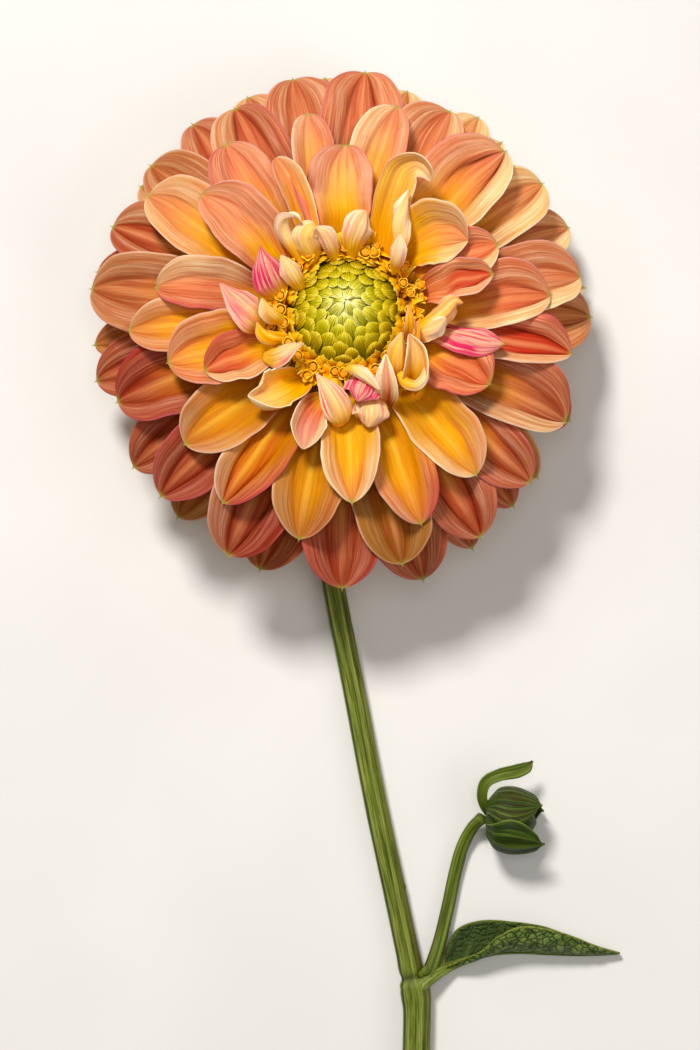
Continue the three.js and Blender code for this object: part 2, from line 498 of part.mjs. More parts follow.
for (const want of ['outer', 'inner', 'middle']) {
  for (const [name, p] of Object.entries(RAYS)) {
    if (p.level !== want) continue;
    const raw = petalSolid(p, 5, 3);
    const m = carve(raw.pos, solid(raw));
    addMesh(bloom, name, m, PETAL_RGB[p.level], 0.6);
    settle([petalSolid(p, 5, 3, GAP)]);
  }
}

// ---------------------------------------------------------------- side shoot, bud, leaf
const shootCurve = new THREE.CatmullRomCurve3([
  [429.5, 972, 3.4], [434, 960, 3.0], [440, 940, 2.2], [448, 906, 1.6], [456, 869, 1.5], [463, 845, 1.9], [472, 828, 3.0], [481, 818.5, 4.6],
].map(([x, y, z]) => new THREE.Vector3(...planXY(x, y, z))), false, 'centripetal');
{
  let m = solid(tube(shootCurve, 10, 6, () => SHOOT_R));
  m = m.subtract(solid(stemFat));
  addMesh(flower, 'side_shoot', largest(m), 0x5d6f1e, 0.55);
}
const shootFat = solid(tube(shootCurve, 10, 6, () => SHOOT_R + GAP));

// bud: closed core with folded bracts round it, axis along +X
const BUD_C = planXY(511, 820, 7.15);
const BUD_DIR = unit([1, -0.12, 0.05]);
const budFrame = (() => { const x = BUD_DIR, y = unit(cross([0, 0, 1], x)), z = cross(x, y); return { x, y, z }; })();
const budPt = (a, b, c) => add(BUD_C, add(mul(budFrame.x, a), add(mul(budFrame.y, b), mul(budFrame.z, c))));
const budFats = [shootFat];
{
  const prof = [[-5.3, 0.7], [-4.6, 2.6], [-2.6, 4.1], [0.2, 4.4], [2.6, 3.5], [4.4, 1.8], [5.2, 0.5]];
  const core = (d) => ringSolid(prof.map(([a, r], i) => Array.from({ length: 12 }, (_, j) => {
    const q = 2 * Math.PI * j / 12;
    return budPt(a + (i === 0 ? -d : i === prof.length - 1 ? d : 0), (r + d) * Math.cos(q), (r + d) * Math.sin(q));
  })));
  let m = solid(core(0)).subtract(shootFat);
  addMesh(flower, 'bud_core', largest(m), 0x4d6b1c, 0.5);
  budFats.push(solid(core(GAP)));
}
// shell-like bract: from the bud's foot over the core to a point
function budBract(mid, span, lift, reach, extra = 0, back = -5.0) {
  const top = [], bot = [], n = 5, k = 3;
  for (let i = 0; i <= n; i++) {
    const t = i / n, a = lerp(back, reach, t);
    const r = (lift + 1.9 * Math.sin(Math.PI * Math.pow(t, 0.8)) * 0.9) * (t < 0.15 ? 0.72 + 1.87 * t : 1);
    const half = Math.max(6, span * Math.pow(Math.sin(Math.PI * Math.min(0.999, 0.14 + 0.84 * t)), 0.7)) + extra * 8;
    const ra = [], rb = [];
    for (let j = 0; j <= k; j++) {
      const q = rad(mid + half * (-1 + 2 * j / k));
      for (const [arr, dr] of [[ra, 0.42 + extra], [rb, -0.42 - extra]]) {
        const R = r + dr;
        arr.push(budPt(a + (i === 0 ? -extra : i === n ? extra : 0), R * Math.cos(q), R * Math.sin(q)));
      }
    }
    top.push(ra); bot.push(rb);
  }
  return sheetSolid(top, bot);
}
{
  const list = [
    ['bud_bract_upper', 62, 62, 4.9, 6.0, -5.0],
    ['bud_bract_lower', -28, 48, 5.1, 7.4, -4.6],
    ['bud_bract_small', -100, 40, 4.9, 6.6, -4.4],
    ['bud_bract_behind', 190, 54, 4.8, 6.4, -4.6],
  ];
  for (const [name, mid, span, lift, reach, back] of list) {
    let m = solid(budBract(mid, span, lift, reach, 0, back));
    for (const q of budFats) m = m.subtract(q);
    addMesh(flower, name, largest(m), 0x3f6a1c, 0.4);
    budFats.push(solid(budBract(mid, span, lift, reach, GAP, back)));
  }
  // thin outer bract turned back off the bud
  const pts = [[482, 806, 7.2], [482, 794, 8.2], [486, 782, 8.6], [499, 775, 8.4], [517, 771, 8.0], [527, 767, 7.8], [532, 762, 7.6]];
  const widths = [0.9, 1.0, 1.1, 1.2, 1.25, 1.0, 0.4];
  const strip = (extra) => {
    const P = pts.map(([x, y, z]) => planXY(x, y, z)), top = [], bot = [];
    for (let i = 0; i < P.length; i++) {
      const d = unit(sub(P[Math.min(P.length - 1, i + 1)], P[Math.max(0, i - 1)]));
      const s = unit(cross([0, 0, 1], d)), h = widths[i] + extra, th = 0.4 + extra;
      top.push([add(P[i], add(mul(s, -h), [0, 0, th])), add(P[i], add(mul(s, h), [0, 0, th]))]);
      bot.push([add(P[i], add(mul(s, -h), [0, 0, -th])), add(P[i], add(mul(s, h), [0, 0, -th]))]);
    }
    return sheetSolid(top, bot);
  };
  let m = solid(strip(0));
  for (const q of budFats) m = m.subtract(q);
  addMesh(flower, 'bud_bract_reflexed', largest(m), 0x6f8a2a, 0.5);
}

// leaf: folded along its midrib and lying on its side, the near half over the far half
{
  const rib = [[421, 983, 3.6], [432, 976, 3.4], [444, 969, 2.6], [456, 964, 1.6], [470, 959, 1.1], [490, 953.5, 1.0], [516, 951.5, 1.0], [545, 953, 1.0], [575, 954.5, 1.0], [600, 954.5, 1.2], [620, 954, 1.4]];
  const far = [[421, 981, 3.6], [432, 973.5, 3.4], [442, 966, 2.6], [446, 950, 1.2], [456, 930, 0.9], [480, 920.5, 0.9], [516, 922, 0.9], [546, 927, 0.9], [574, 938, 1.0], [599, 947, 1.1], [620, 953, 1.4]];
  const near = [[421, 981.5, 4.6], [432, 974.5, 4.4], [445, 966.5, 3.8], [460, 960, 4.6], [480, 952, 6.6], [497, 938, 8.8], [520, 927, 9.8], [546, 929, 9.0], [573, 936, 7.2], [598, 946, 4.4], [620, 953, 2.2]];
  const n = rib.length, mk = (row) => row.map(([x, y, z]) => planXY(x, y, z));
  const R = mk(rib), F = mk(far), N = mk(near);
  // thin V: outer sheet and inner sheet, offset along the local normals
  const outer = [], inner = [], h = LEAF_THICK / 2;
  for (let i = 0; i < n; i++) {
    const mf = add(mul(add(R[i], F[i]), 0.5), [0, 0, -0.25]);
    const mn = add(mul(add(R[i], N[i]), 0.5), [0, -0.4, 0.5]);
    const row = [F[i], mf, R[i], mn, N[i]];
    const o = [], q = [];
    for (let j = 0; j < 5; j++) {
      const a = row[Math.max(0, j - 1)], b = row[Math.min(4, j + 1)];
      const along = unit(sub(R[Math.min(n - 1, i + 1)], R[Math.max(0, i - 1)]));
      const nrm = unit(cross(along, unit(sub(b, a))));
      const hh = (i < 3 ? 1.0 : i === n - 1 ? 0.25 : h) * (j === 2 ? 1.3 : 1);
      o.push(add(row[j], mul(nrm, hh)));
      q.push(add(row[j], mul(nrm, -hh)));
    }
    outer.push(o); inner.push(q);
  }
  let m = solid(sheetSolid(outer, inner));
  m = m.subtract(solid(stemFat)).subtract(shootFat);
  addMesh(flower, 'leaf', largest(m), 0x3c5a1f, 0.45);
}

export default all;
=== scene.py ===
import math
import bpy
import numpy as np
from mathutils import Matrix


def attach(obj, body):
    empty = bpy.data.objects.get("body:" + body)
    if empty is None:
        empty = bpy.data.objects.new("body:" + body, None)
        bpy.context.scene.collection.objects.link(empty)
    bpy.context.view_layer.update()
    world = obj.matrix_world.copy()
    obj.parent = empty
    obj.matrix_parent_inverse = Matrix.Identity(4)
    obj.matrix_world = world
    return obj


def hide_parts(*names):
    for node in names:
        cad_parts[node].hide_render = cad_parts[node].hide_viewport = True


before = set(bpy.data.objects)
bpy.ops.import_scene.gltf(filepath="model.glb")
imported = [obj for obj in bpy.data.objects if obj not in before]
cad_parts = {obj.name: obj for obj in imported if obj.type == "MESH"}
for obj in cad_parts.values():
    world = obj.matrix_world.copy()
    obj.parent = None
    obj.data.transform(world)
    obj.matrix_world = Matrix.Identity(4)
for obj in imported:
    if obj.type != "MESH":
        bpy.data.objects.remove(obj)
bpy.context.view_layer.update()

BODY = "root"
rng = np.random.RandomState(7)

# ------------------------------------------------------------------ plan, bloom frame, metres
MM_PER_PX, EYE, MID = 0.2, 1000.0, 25.0
CX, CY = 350.0, 525.0
SHIFT = np.array([1.42, -13.41, 0.026])
TILT = math.radians(11)
ST, CT = math.sin(TILT), math.cos(TILT)
SURFACE_CLEAR = 0.35


def scale_at(z):
    return MM_PER_PX * (EYE - z) / (EYE - MID)


def plan_xy(px, py, z):
    s = scale_at(z)
    return np.array([(px - CX) * s, (CY - py) * s, z])


BLOOM_C = plan_xy(345.5, 312, 31.2)
AXIS = np.array([0, ST, CT])


def plan_local(px, py, w, clamp=True):
    z = 31.2
    q = np.zeros(3)
    for _ in range(12):
        if clamp and z < SURFACE_CLEAR:
            w += SURFACE_CLEAR - z
        p = plan_xy(px, py, z)
        v = ((p[1] - BLOOM_C[1]) - w * ST) / CT
        q = np.array([p[0] - BLOOM_C[0], v, w])
        z = BLOOM_C[2] - v * ST + w * CT
    return q


def to_world(q):
    q = np.asarray(q, float)
    u, v, w = q[..., 0], q[..., 1], q[..., 2]
    return BLOOM_C + np.stack([u, v * CT + w * ST, -v * ST + w * CT], -1)


def smooth(x):
    x = np.clip(x, 0.0, 1.0)
    return x * x * (3 - 2 * x)


def sstep(a, b, x):
    return smooth((np.asarray(x, float) - a) / (b - a))


def lerp(a, b, t):
    return a + (b - a) * t


def unit(v):
    v = np.asarray(v, float)
    return v / np.maximum(np.linalg.norm(v, axis=-1, keepdims=True), 1e-12)


def rad(d):
    return d * math.pi / 180


# ------------------------------------------------------------------ mesh building
ATTS = ("pa", "pm", "k1", "k2", "k3", "k4", "k5")


class Shape:
    """Collects closed shells and their point attributes, in plan millimetres."""

    def __init__(self):
        self.v, self.q, self.t, self.n = [], [], [], 0
        self.a = {k: [] for k in ATTS}

    def add(self, v, quads=None, tris=None, att=None):
        v = np.asarray(v, float).reshape(-1, 3)
        self.v.append(v)
        if quads is not None and len(quads):
            self.q.append(np.asarray(quads, int).reshape(-1, 4) + self.n)
        if tris is not None and len(tris):
            self.t.append(np.asarray(tris, int).reshape(-1, 3) + self.n)
        att = att or {}
        for k in ATTS:
            x = att.get(k)
            self.a[k].append(np.zeros((len(v), 3)) if x is None else np.broadcast_to(np.asarray(x, float).reshape(-1, 3), (len(v), 3)))
        self.n += len(v)

    def build(self, name, mat, slot, *nodes):
        v = (np.vstack(self.v) - SHIFT) / 1000.0
        v[:, 2] = np.maximum(v[:, 2], 0.00002)
        me = bpy.data.meshes.new(name)
        me.vertices.add(len(v))
        me.vertices.foreach_set("co", v.astype(np.float32).ravel())
        q = np.vstack(self.q) if self.q else np.zeros((0, 4), int)
        t = np.vstack(self.t) if self.t else np.zeros((0, 3), int)
        loops = np.concatenate([q.ravel(), t.ravel()]).astype(np.int32)
        starts = np.concatenate([np.arange(len(q)) * 4, len(q) * 4 + np.arange(len(t)) * 3]).astype(np.int32)
        me.loops.add(len(loops))
        me.loops.foreach_set("vertex_index", loops)
        me.polygons.add(len(starts))
        me.polygons.foreach_set("loop_start", starts)
        me.update(calc_edges=True)
        me.validate()
        me.polygons.foreach_set("use_smooth", np.ones(len(me.polygons), bool))
        for k in ATTS:
            at = me.attributes.new(k, "FLOAT_VECTOR", "POINT")
            at.data.foreach_set("vector", np.vstack(self.a[k]).astype(np.float32).ravel())
        me.materials.append(mat)
        ob = bpy.data.objects.new(name, me)
        bpy.context.scene.collection.objects.link(ob)
        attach(ob, BODY)
        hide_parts(*nodes)
        return ob


def grid_normals(P):
    di = np.gradient(P, axis=0)
    dj = np.gradient(P, axis=1)
    n = np.cross(di, dj)
    return unit(n)


def sheet(P, th, nrm=None):
    """Closed double sheet round the grid P: top side first, then bottom side."""
    n, m = P.shape[:2]
    N = grid_normals(P) if nrm is None else nrm
    th = np.broadcast_to(np.asarray(th, float), (n, m))[..., None]
    V = np.concatenate([(P + N * th).reshape(-1, 3), (P - N * th).reshape(-1, 3)])
    T = np.arange(n * m).reshape(n, m)
    B = T + n * m
    q = [np.stack([T[:-1, :-1], T[1:, :-1], T[1:, 1:], T[:-1, 1:]], -1).reshape(-1, 4),
         np.stack([B[:-1, :-1], B[:-1, 1:], B[1:, 1:], B[1:, :-1]], -1).reshape(-1, 4),
         np.stack([T[:-1, 0], B[:-1, 0], B[1:, 0], T[1:, 0]], -1),
         np.stack([T[:-1, -1], T[1:, -1], B[1:, -1], B[:-1, -1]], -1),
         np.stack([T[0, :-1], T[0, 1:], B[0, 1:], B[0, :-1]], -1),
         np.stack([T[-1, :-1], B[-1, :-1], B[-1, 1:], T[-1, 1:]], -1)]
    return V, np.vstack(q)


def both(*fields):
    """Stacks three (n, m) fields for both sides of a sheet."""
    x = np.stack([np.broadcast_to(f, fields[0].shape).ravel() for f in fields], -1)
    return np.concatenate([x, x])


def rings(R, att=None):
    """Closed tube through the rings R (n, k, 3), with fan caps."""
    n, k = R.shape[:2]
    I = np.arange(n * k).reshape(n, k)
    J = np.roll(I, -1, axis=1)
    q = np.stack([I[:-1], J[:-1], J[1:], I[1:]], -1).reshape(-1, 4)
    V = np.concatenate([R.reshape(-1, 3), R[0].mean(0, keepdims=True), R[-1].mean(0, keepdims=True)])
    c0, c1 = n * k, n * k + 1
    t = np.concatenate([np.stack([np.full(k, c0), J[0], I[0]], -1), np.stack([np.full(k, c1), I[-1], J[-1]], -1)])
    # faces outwards?
    a, b, c = V[q[:, 0]], V[q[:, 1]], V[q[:, 2]]
    vol = np.einsum("ij,ij->i", a - V.mean(0), np.cross(b - V.mean(0), c - V.mean(0))).sum()
    if vol < 0:
        q, t = q[:, ::-1], t[:, ::-1]
    return V, q, t


def ring_att(a, b, c):
    """Attribute of a rings() shell from (n, k) fields, with values for the two caps."""
    f = np.stack([np.broadcast_to(x, np.shape(a)) for x in (a, b, c)], -1).reshape(-1, 3)
    k = np.shape(a)[1]
    return np.concatenate([f, f[:k].mean(0, keepdims=True), f[-k:].mean(0, keepdims=True)])


def crom(pts, n, even=True):
    """Centripetal Catmull-Rom curve through pts, n points even in length."""
    P = np.asarray(pts, float)
    P = np.vstack([2 * P[0] - P[1], P, 2 * P[-1] - P[-2]])
    out, par = [], []
    m = 24
    for i in range(1, len(P) - 2):
        p0, p1, p2, p3 = P[i - 1:i + 3]
        d = P.shape[1]
        g = lambda a, b: max(np.linalg.norm((b - a)[:3]) ** 0.5, 1e-6)
        t0 = 0.0
        t1 = t0 + g(p0, p1)
        t2 = t1 + g(p1, p2)
        t3 = t2 + g(p2, p3)
        for u in np.arange(m) / m:
            t = lerp(t1, t2, u)
            A1 = (t1 - t) / (t1 - t0) * p0 + (t - t0) / (t1 - t0) * p1
            A2 = (t2 - t) / (t2 - t1) * p1 + (t - t1) / (t2 - t1) * p2
            A3 = (t3 - t) / (t3 - t2) * p2 + (t - t2) / (t3 - t2) * p3
            B1 = (t2 - t) / (t2 - t0) * A1 + (t - t0) / (t2 - t0) * A2
            B2 = (t3 - t) / (t3 - t1) * A2 + (t - t1) / (t3 - t1) * A3
            out.append((t2 - t) / (t2 - t1) * B1 + (t - t1) / (t2 - t1) * B2)
            par.append(i - 1 + u)
    out.append(P[-2])
    par.append(len(P) - 3)
    out, par = np.array(out), np.array(par, float)
    L = np.concatenate([[0], np.cumsum(np.linalg.norm(np.diff(out[:, :3], axis=0), axis=1))])
    want = np.linspace(0, L[-1], n)
    res = np.stack([np.interp(want, L, out[:, k]) for k in range(out.shape[1])], -1)
    return res, np.interp(want, L, par), L[-1]


def frames(C, up=(0, 0, 1)):
    """Tangent, left and up vectors along a curve, carried without twist."""
    D = unit(np.gradient(C, axis=0))
    S = np.zeros_like(C)
    s = np.cross(D[0], np.asarray([1.0, 0, 0]) if abs(D[0][0]) < 0.8 else np.asarray([0, 1.0, 0]))
    for i in range(len(C)):
        s = s - D[i] * np.dot(s, D[i])
        s = s / np.linalg.norm(s)
        S[i] = s
    return D, S, np.cross(D, S)


def wob(x, seed, k=3):
    """Slow pseudo-random curve of x, within about plus or minus one."""
    r = np.random.RandomState(int(seed * 977) % 2 ** 31)
    y = 0
    for i in range(k):
        y = y + math.cos(i) * 0 + (r.rand() * 0.6 + 0.4) * np.sin(2 * math.pi * (x * (0.7 + i * 0.9 + r.rand() * 0.5) + r.rand()))
    return y / k


# ------------------------------------------------------------------ ray florets: shape and look
# tip: plan point; hl, hr: half widths left and right of the keel looking outwards; az: claw direction;
# wT: tip height; cl, cr: creaminess of the left and right lobe; gr: grooves; pk: pink flush; dk: duskiness, partly
# painted shade;
# oc: olive tan; rd: red throat; mg: magenta stripes
LEVEL = {
 'small':  dict(rB=14.9, wB=-2.9, wT=4.0,   e0=62, e1=10,  cup=[60,45,50], tm=0.60),
 'inner':  dict(rB=14.9, wB=-4.6, wT=1.5,   e0=40, e1=-14, cup=[66,48,64], tm=0.62),
 'middle': dict(rB=14.0, wB=-7.2, wT=-5.0,  e0=33, e1=-24, cup=[66,42,60], tm=0.63),
 'outer':  dict(rB=12.4, wB=-9.8, wT=-12.5, e0=20, e1=-34, cup=[66,36,52], tm=0.64),
 'back':   dict(rB=10.2, wB=-12.3, wT=-20.5, e0=2, e1=-44, cup=[60,28,40], tm=0.62),
}
RAYS = {
 'middle_ray_01': dict(level='middle', tip=[397,107], hl=30, hr=22, az=84, cl=.85, cr=.1, gr=.5, pk=.3),
 'middle_ray_02': dict(level='middle', tip=[505,152], hl=44, hr=32, az=49, wT=-7, cl=.1, cr=.85, gr=.85, pk=.95, rd=.2),
 'middle_ray_03': dict(level='middle', tip=[550,296], hl=37, hr=25, az=-3, cup=[66,46,62], cl=.2, cr=.95, gr=.75, pk=1.0, rd=.35, gold=(22,36)),
 'middle_ray_04': dict(level='middle', tip=[571,354], hl=31, hr=20, az=-13, wT=-7, cup=[66,55,66], cl=.05, cr=.5, gr=1.0, pk=.9, rd=1.0, gold=(22,34)),
 'middle_ray_05': dict(level='middle', tip=[476,475], hl=31, hr=27, az=-53, cup=[66,46,62], cl=.55, cr=1.0, gr=.35, pk=.2),
 'middle_ray_06': dict(level='middle', tip=[421,524], hl=31, hr=27, az=-73, wT=-5.5, cl=.0, cr=.45, gr=.45, pk=.9, dl=.5),
 'middle_ray_07': dict(level='middle', tip=[299,539], hl=33, hr=32, az=-104, wT=-6, cl=.3, cr=.6, gr=.3, oc=.65, pk=.0),
 'middle_ray_08': dict(level='middle', tip=[223,503], hl=31, hr=26, az=-119, wT=-5.5, cup=[66,50,62], cl=.05, cr=.9, gr=.9, pk=.7, rd=.5),
 'middle_ray_09': dict(level='middle', tip=[185,444], hl=33, hr=32, az=-133, wT=-5, cl=.75, cr=.65, gr=.35, oc=.25, pk=.1),
 'middle_ray_10': dict(level='middle', tip=[129,330], hl=28, hr=26, az=-170, wT=-6, cl=.4, cr=.65, gr=.5, oc=.25, pk=.15),
 'middle_ray_11': dict(level='middle', tip=[156,288], hl=20, hr=29, az=167, wT=-2.5, cup=[66,56,70], cl=.1, cr=.8, gr=.5, pk=1.0, gold=(15,27)),
 'middle_ray_12': dict(level='middle', tip=[148,196], hl=29, hr=37, az=156, wT=-7, cl=.7, cr=.7, gr=.3, oc=.2, pk=.0),
 'middle_ray_13': dict(level='middle', tip=[226,145], hl=36, hr=26, az=134, wT=-4, cl=.15, cr=.3, gr=.4, pk=1.0, gold=(23,40)),
 'middle_ray_14': dict(level='middle', tip=[308,114], hl=21, hr=19, az=104, wT=-5, cup=[66,64,74], cl=.6, cr=.2, gr=.3, pk=.5),
 'outer_ray_01': dict(level='outer', tip=[365,73], hl=38, hr=38, az=86, cl=.1, cr=.15, gr=.9, pk=.7, dk=.2),
 'outer_ray_02': dict(level='outer', tip=[450,112], hl=42, hr=28, az=64, wT=-12, cl=.2, cr=.3, gr=.4, pk=.75),
 'outer_ray_03': dict(level='outer', tip=[542,184], hl=34, hr=35, az=37, wT=-12, cl=.7, cr=.8, gr=.75, oc=.35, pk=.1),
 'outer_ray_04': dict(level='outer', tip=[580,277], hl=36, hr=33, az=11, wT=-12, cl=.1, cr=.95, gr=.75, pk=.6),
 'outer_ray_05': dict(level='outer', tip=[565,422], hl=42, hr=29, az=-29, wT=-11, cl=.15, cr=.85, gr=.85, dk=.35, pk=.3),
 'outer_ray_06': dict(level='outer', tip=[530,482], hl=27, hr=33, az=-42, wT=-13, cl=.15, cr=.1, gr=.85, dk=.4, pk=.5),
 'outer_ray_07': dict(level='outer', tip=[480,537], hl=36, hr=33, az=-57, wT=-13.5, cl=.1, cr=.1, gr=1.0, dk=.5, pk=.35, rd=.3),
 'outer_ray_08': dict(level='outer', tip=[402,564], hl=38, hr=34, az=-79, wT=-12, cl=.35, cr=.4, gr=.5, oc=.9, pk=.0),
 'outer_ray_09': dict(level='outer', tip=[342,588], hl=38, hr=39, az=-92, wT=-15, cl=.05, cr=.05, gr=.75, dk=.3, pk=.75),
 'outer_ray_10': dict(level='outer', tip=[228,555], hl=40, hr=37, az=-117, wT=-13, cl=.0, cr=.5, gr=1.0, dk=.55, pk=.3),
 'outer_ray_11': dict(level='outer', tip=[161,496], hl=32, hr=33, az=-134, wT=-13, cl=.1, cr=.15, gr=1.0, dk=.35, pk=.6),
 'outer_ray_12': dict(level='outer', tip=[118,402], hl=36, hr=38, az=-153, wT=-12, cl=.15, cr=.0, gr=.85, dk=.4, pk=.6),
 'outer_ray_13': dict(level='outer', tip=[92,289], hl=41, hr=36, az=176, wT=-13, cl=.3, cr=.5, gr=.75, dk=.45, oc=.2, pk=.2),
 'outer_ray_14': dict(level='outer', tip=[113,227], hl=30, hr=36, az=160, wT=-15, cl=.15, cr=.45, gr=.8, dk=.55, pk=.25),
 'outer_ray_15': dict(level='outer', tip=[151,166], hl=33, hr=34, az=144, wT=-15, cl=.35, cr=.45, gr=.6, dk=.5, oc=.25, pk=.15),
 'outer_ray_16': dict(level='outer', tip=[193,125], hl=32, hr=30, az=130, wT=-16, cl=.4, cr=.3, gr=.3, pk=.85),
 'outer_ray_17': dict(level='outer', tip=[235,109], hl=40, hr=30, az=118, wT=-11.5, cl=.6, cr=.15, gr=.95, pk=.65, rd=.3),
 'outer_ray_18': dict(level='outer', tip=[293,80], hl=35, hr=38, az=102, wT=-14, cl=.25, cr=.3, gr=.3, pk=.6),
 'inner_ray_01': dict(level='inner', tip=[346,145], hl=36, hr=26, az=91, wT=1.0, pk=.9, cl=.05, cr=.1, gr=.35),
 'inner_ray_02': dict(level='inner', tip=[467,240], hl=27, hr=27, az=33, wT=3.0, turn=[150,180], cup=[66,56,66], pk=.2),
 'inner_ray_03': dict(level='inner', tip=[490,384], hl=34, hr=31, az=-23, wT=0.5, cup=[60,40,60], pk=.85, cl=.1, cr=.1, gr=.7, dk=.45, rd=.3, gold=(16,27)),
 'inner_ray_04': dict(level='inner', tip=[352,503], hl=27, hr=27, az=-88, wT=0.0, cup=[66,54,66], cl=.9, cr=.85, gr=.5, pk=.7),
 'inner_ray_05': dict(level='inner', tip=[168,363], hl=34, hr=34, az=-160, wT=-1.0, cl=.3, cr=.5, gr=.5, pk=.5),
 'inner_ray_06': dict(level='inner', tip=[201,195], hl=22, hr=36, az=147, wT=1.0, cl=.3, cr=.3, gr=.5, pk=1.0, gold=(19,30)),
}
BACK_FANS = {
 'back_rays_right': dict(az=[-30,42], rays=[
  dict(tip=[568,228], hl=32, hr=32, wT=-18, dk=.3, cr=.6, cl=.2, pk=.2, gr=.6), dict(tip=[590,317], hl=34, hr=44, wT=-18, dk=.5, oc=.4, gr=.7),
  dict(tip=[569,420], hl=32, hr=32, wT=-19, pk=.5, dk=.3, gr=.5), dict(tip=[584,288], hl=22, hr=22, wT=-25, cl=.8, cr=.8, oc=.3),
  dict(tip=[530,178], hl=28, hr=28, wT=-23, cl=.8, cr=.7, oc=.3)]),
 'back_rays_bottom': dict(az=[-122,-40], rays=[
  dict(tip=[423,579], hl=38, hr=42, wT=-19, pk=.5, dk=.3, gr=.6), dict(tip=[260,569], hl=40, hr=34, wT=-19, dk=.5, oc=.3, gr=.9),
  dict(tip=[537,477], hl=27, hr=27, wT=-24, cl=.5, cr=.5, oc=.6), dict(tip=[513,506], hl=27, hr=27, wT=-18, pk=.4, dk=.3),
  dict(tip=[472,548], hl=26, hr=26, wT=-25, dk=.4, pk=.3), dict(tip=[335,578], hl=30, hr=30, wT=-24, oc=.7)]),
 'back_rays_left': dict(az=[145,230], rays=[
  dict(tip=[134,467], hl=32, hr=34, wT=-17, dk=.7, gr=.9), dict(tip=[97,381], hl=32, hr=34, wT=-19, dk=.5, gr=.8, pk=.3),
  dict(tip=[95,345], hl=25, hr=25, wT=-25, oc=.7, dk=.3), dict(tip=[98,272], hl=28, hr=30, wT=-20, dk=.5, gr=.6),
  dict(tip=[178,517], hl=32, hr=30, wT=-22, oc=.9, cl=.4, cr=.3), dict(tip=[141,187], hl=28, hr=30, wT=-22, cl=.7, cr=.8, oc=.3)]),
 'back_rays_top': dict(az=[52,132], rays=[
  dict(tip=[478,118], hl=30, hr=30, wT=-18, cl=.7, cr=.7, oc=.2), dict(tip=[501,143], hl=24, hr=24, wT=-25, cl=.8, cr=.8),
  dict(tip=[407,92], hl=30, hr=30, wT=-20, cl=.8, cr=.7, oc=.2), dict(tip=[325,79], hl=32, hr=32, wT=-19, cl=.7, cr=.7),
  dict(tip=[248,98], hl=32, hr=32, wT=-20, cl=.8, cr=.7, oc=.2)]),
}
SMALL_FANS = {
 'small_rays_top': dict(az=[52,124], rays=[
  dict(level='inner', tip=[274,156], hl=14, hr=14, cup=[70,70,80], az=112, wT=2, pk=.5, cl=.5, cr=.9),
  dict(level='inner', tip=[428,181], hl=18, hr=18, cup=[70,60,80], az=64, wT=2, cl=.9, cr=.6, pk=.3),
  dict(tip=[318,226], hl=17, hr=17, az=101, wT=6, turn=[170,180], cl=.8, cr=.8), dict(tip=[362,212], hl=15, hr=15, az=80, wT=6, turn=[170,180], pk=.7),
  dict(tip=[289,219], hl=15, hr=15, az=117, wT=5, cl=.8, cr=.8), dict(tip=[402,238], hl=10, hr=10, az=60, wT=6, turn=[170,180], pk=.6)]),
 'small_rays_right': dict(az=[-20,46], rays=[
  dict(level='inner', tip=[493,274], hl=20, hr=18, az=15, cup=[70,62,70], wT=3, gr=1, rd=1, cl=.2, cr=.4, pk=1.0, gold=(12,20)),
  dict(level='inner', tip=[498,245], hl=26, hr=24, az=27, wT=0, pk=1.0, cl=.1, cr=.9, rd=.5, gold=(14,24)),
  dict(level='inner', tip=[504,344], hl=17, hr=17, az=-10, wT=3, turn=[120,170], pk=1.0, mg=1.0),
  dict(tip=[459,303], hl=11, hr=11, az=4, wT=3, pk=.4, cl=.6)]),
 'small_rays_bottom': dict(az=[-118,-38], rays=[
  dict(tip=[418,352], hl=16, hr=16, az=-36, wT=6, cl=.6, cr=.6), dict(tip=[386,360], hl=13, hr=13, az=-52, wT=7, turn=[160,180], pk=.3),
  dict(tip=[366,388], hl=15, hr=15, az=-70, wT=6, turn=[160,180], pk=1, mg=1), dict(tip=[318,380], hl=15, hr=15, az=-106, wT=6, turn=[160,180], pk=.7),
  dict(tip=[384,420], hl=17, hr=17, az=-72, wT=2, turn=[160,180], pk=.5), dict(level='inner', tip=[300,450], hl=16, hr=16, az=-110, wT=2, cup=[70,70,80], cl=1, cr=1, rd=.7, gr=.6)]),
 'small_rays_left': dict(az=[140,220], rays=[
  dict(level='inner', tip=[205,371], hl=25, hr=23, az=-155, wT=1, cup=[66,60,72], gr=.8, rd=.6, cl=1.0, cr=.1, pk=.7, gold=(15,25)),
  dict(level='inner', tip=[246,400], hl=24, hr=24, az=-135, wT=3, cup=[66,64,80], cl=.9, cr=.9),
  dict(tip=[222,283], hl=24, hr=24, az=168, wT=3, turn=[160,180], pk=.8, mg=.4), dict(tip=[258,250], hl=20, hr=20, az=146, wT=5, turn=[160,180], pk=1, mg=1),
  dict(tip=[264,318], hl=10, hr=10, az=-176, wT=5, cl=.7, cr=.7), dict(tip=[270,348], hl=13, hr=13, az=-158, wT=5, pk=.6)]),
}


# ------------------------------------------------------------------ node materials
def col(h):
    h = h.lstrip("#")
    c = [int(h[i:i + 2], 16) / 255 for i in (0, 2, 4)]
    return tuple([x / 12.92 if x <= 0.04045 else ((x + 0.055) / 1.055) ** 2.4 for x in c] + [1.0])


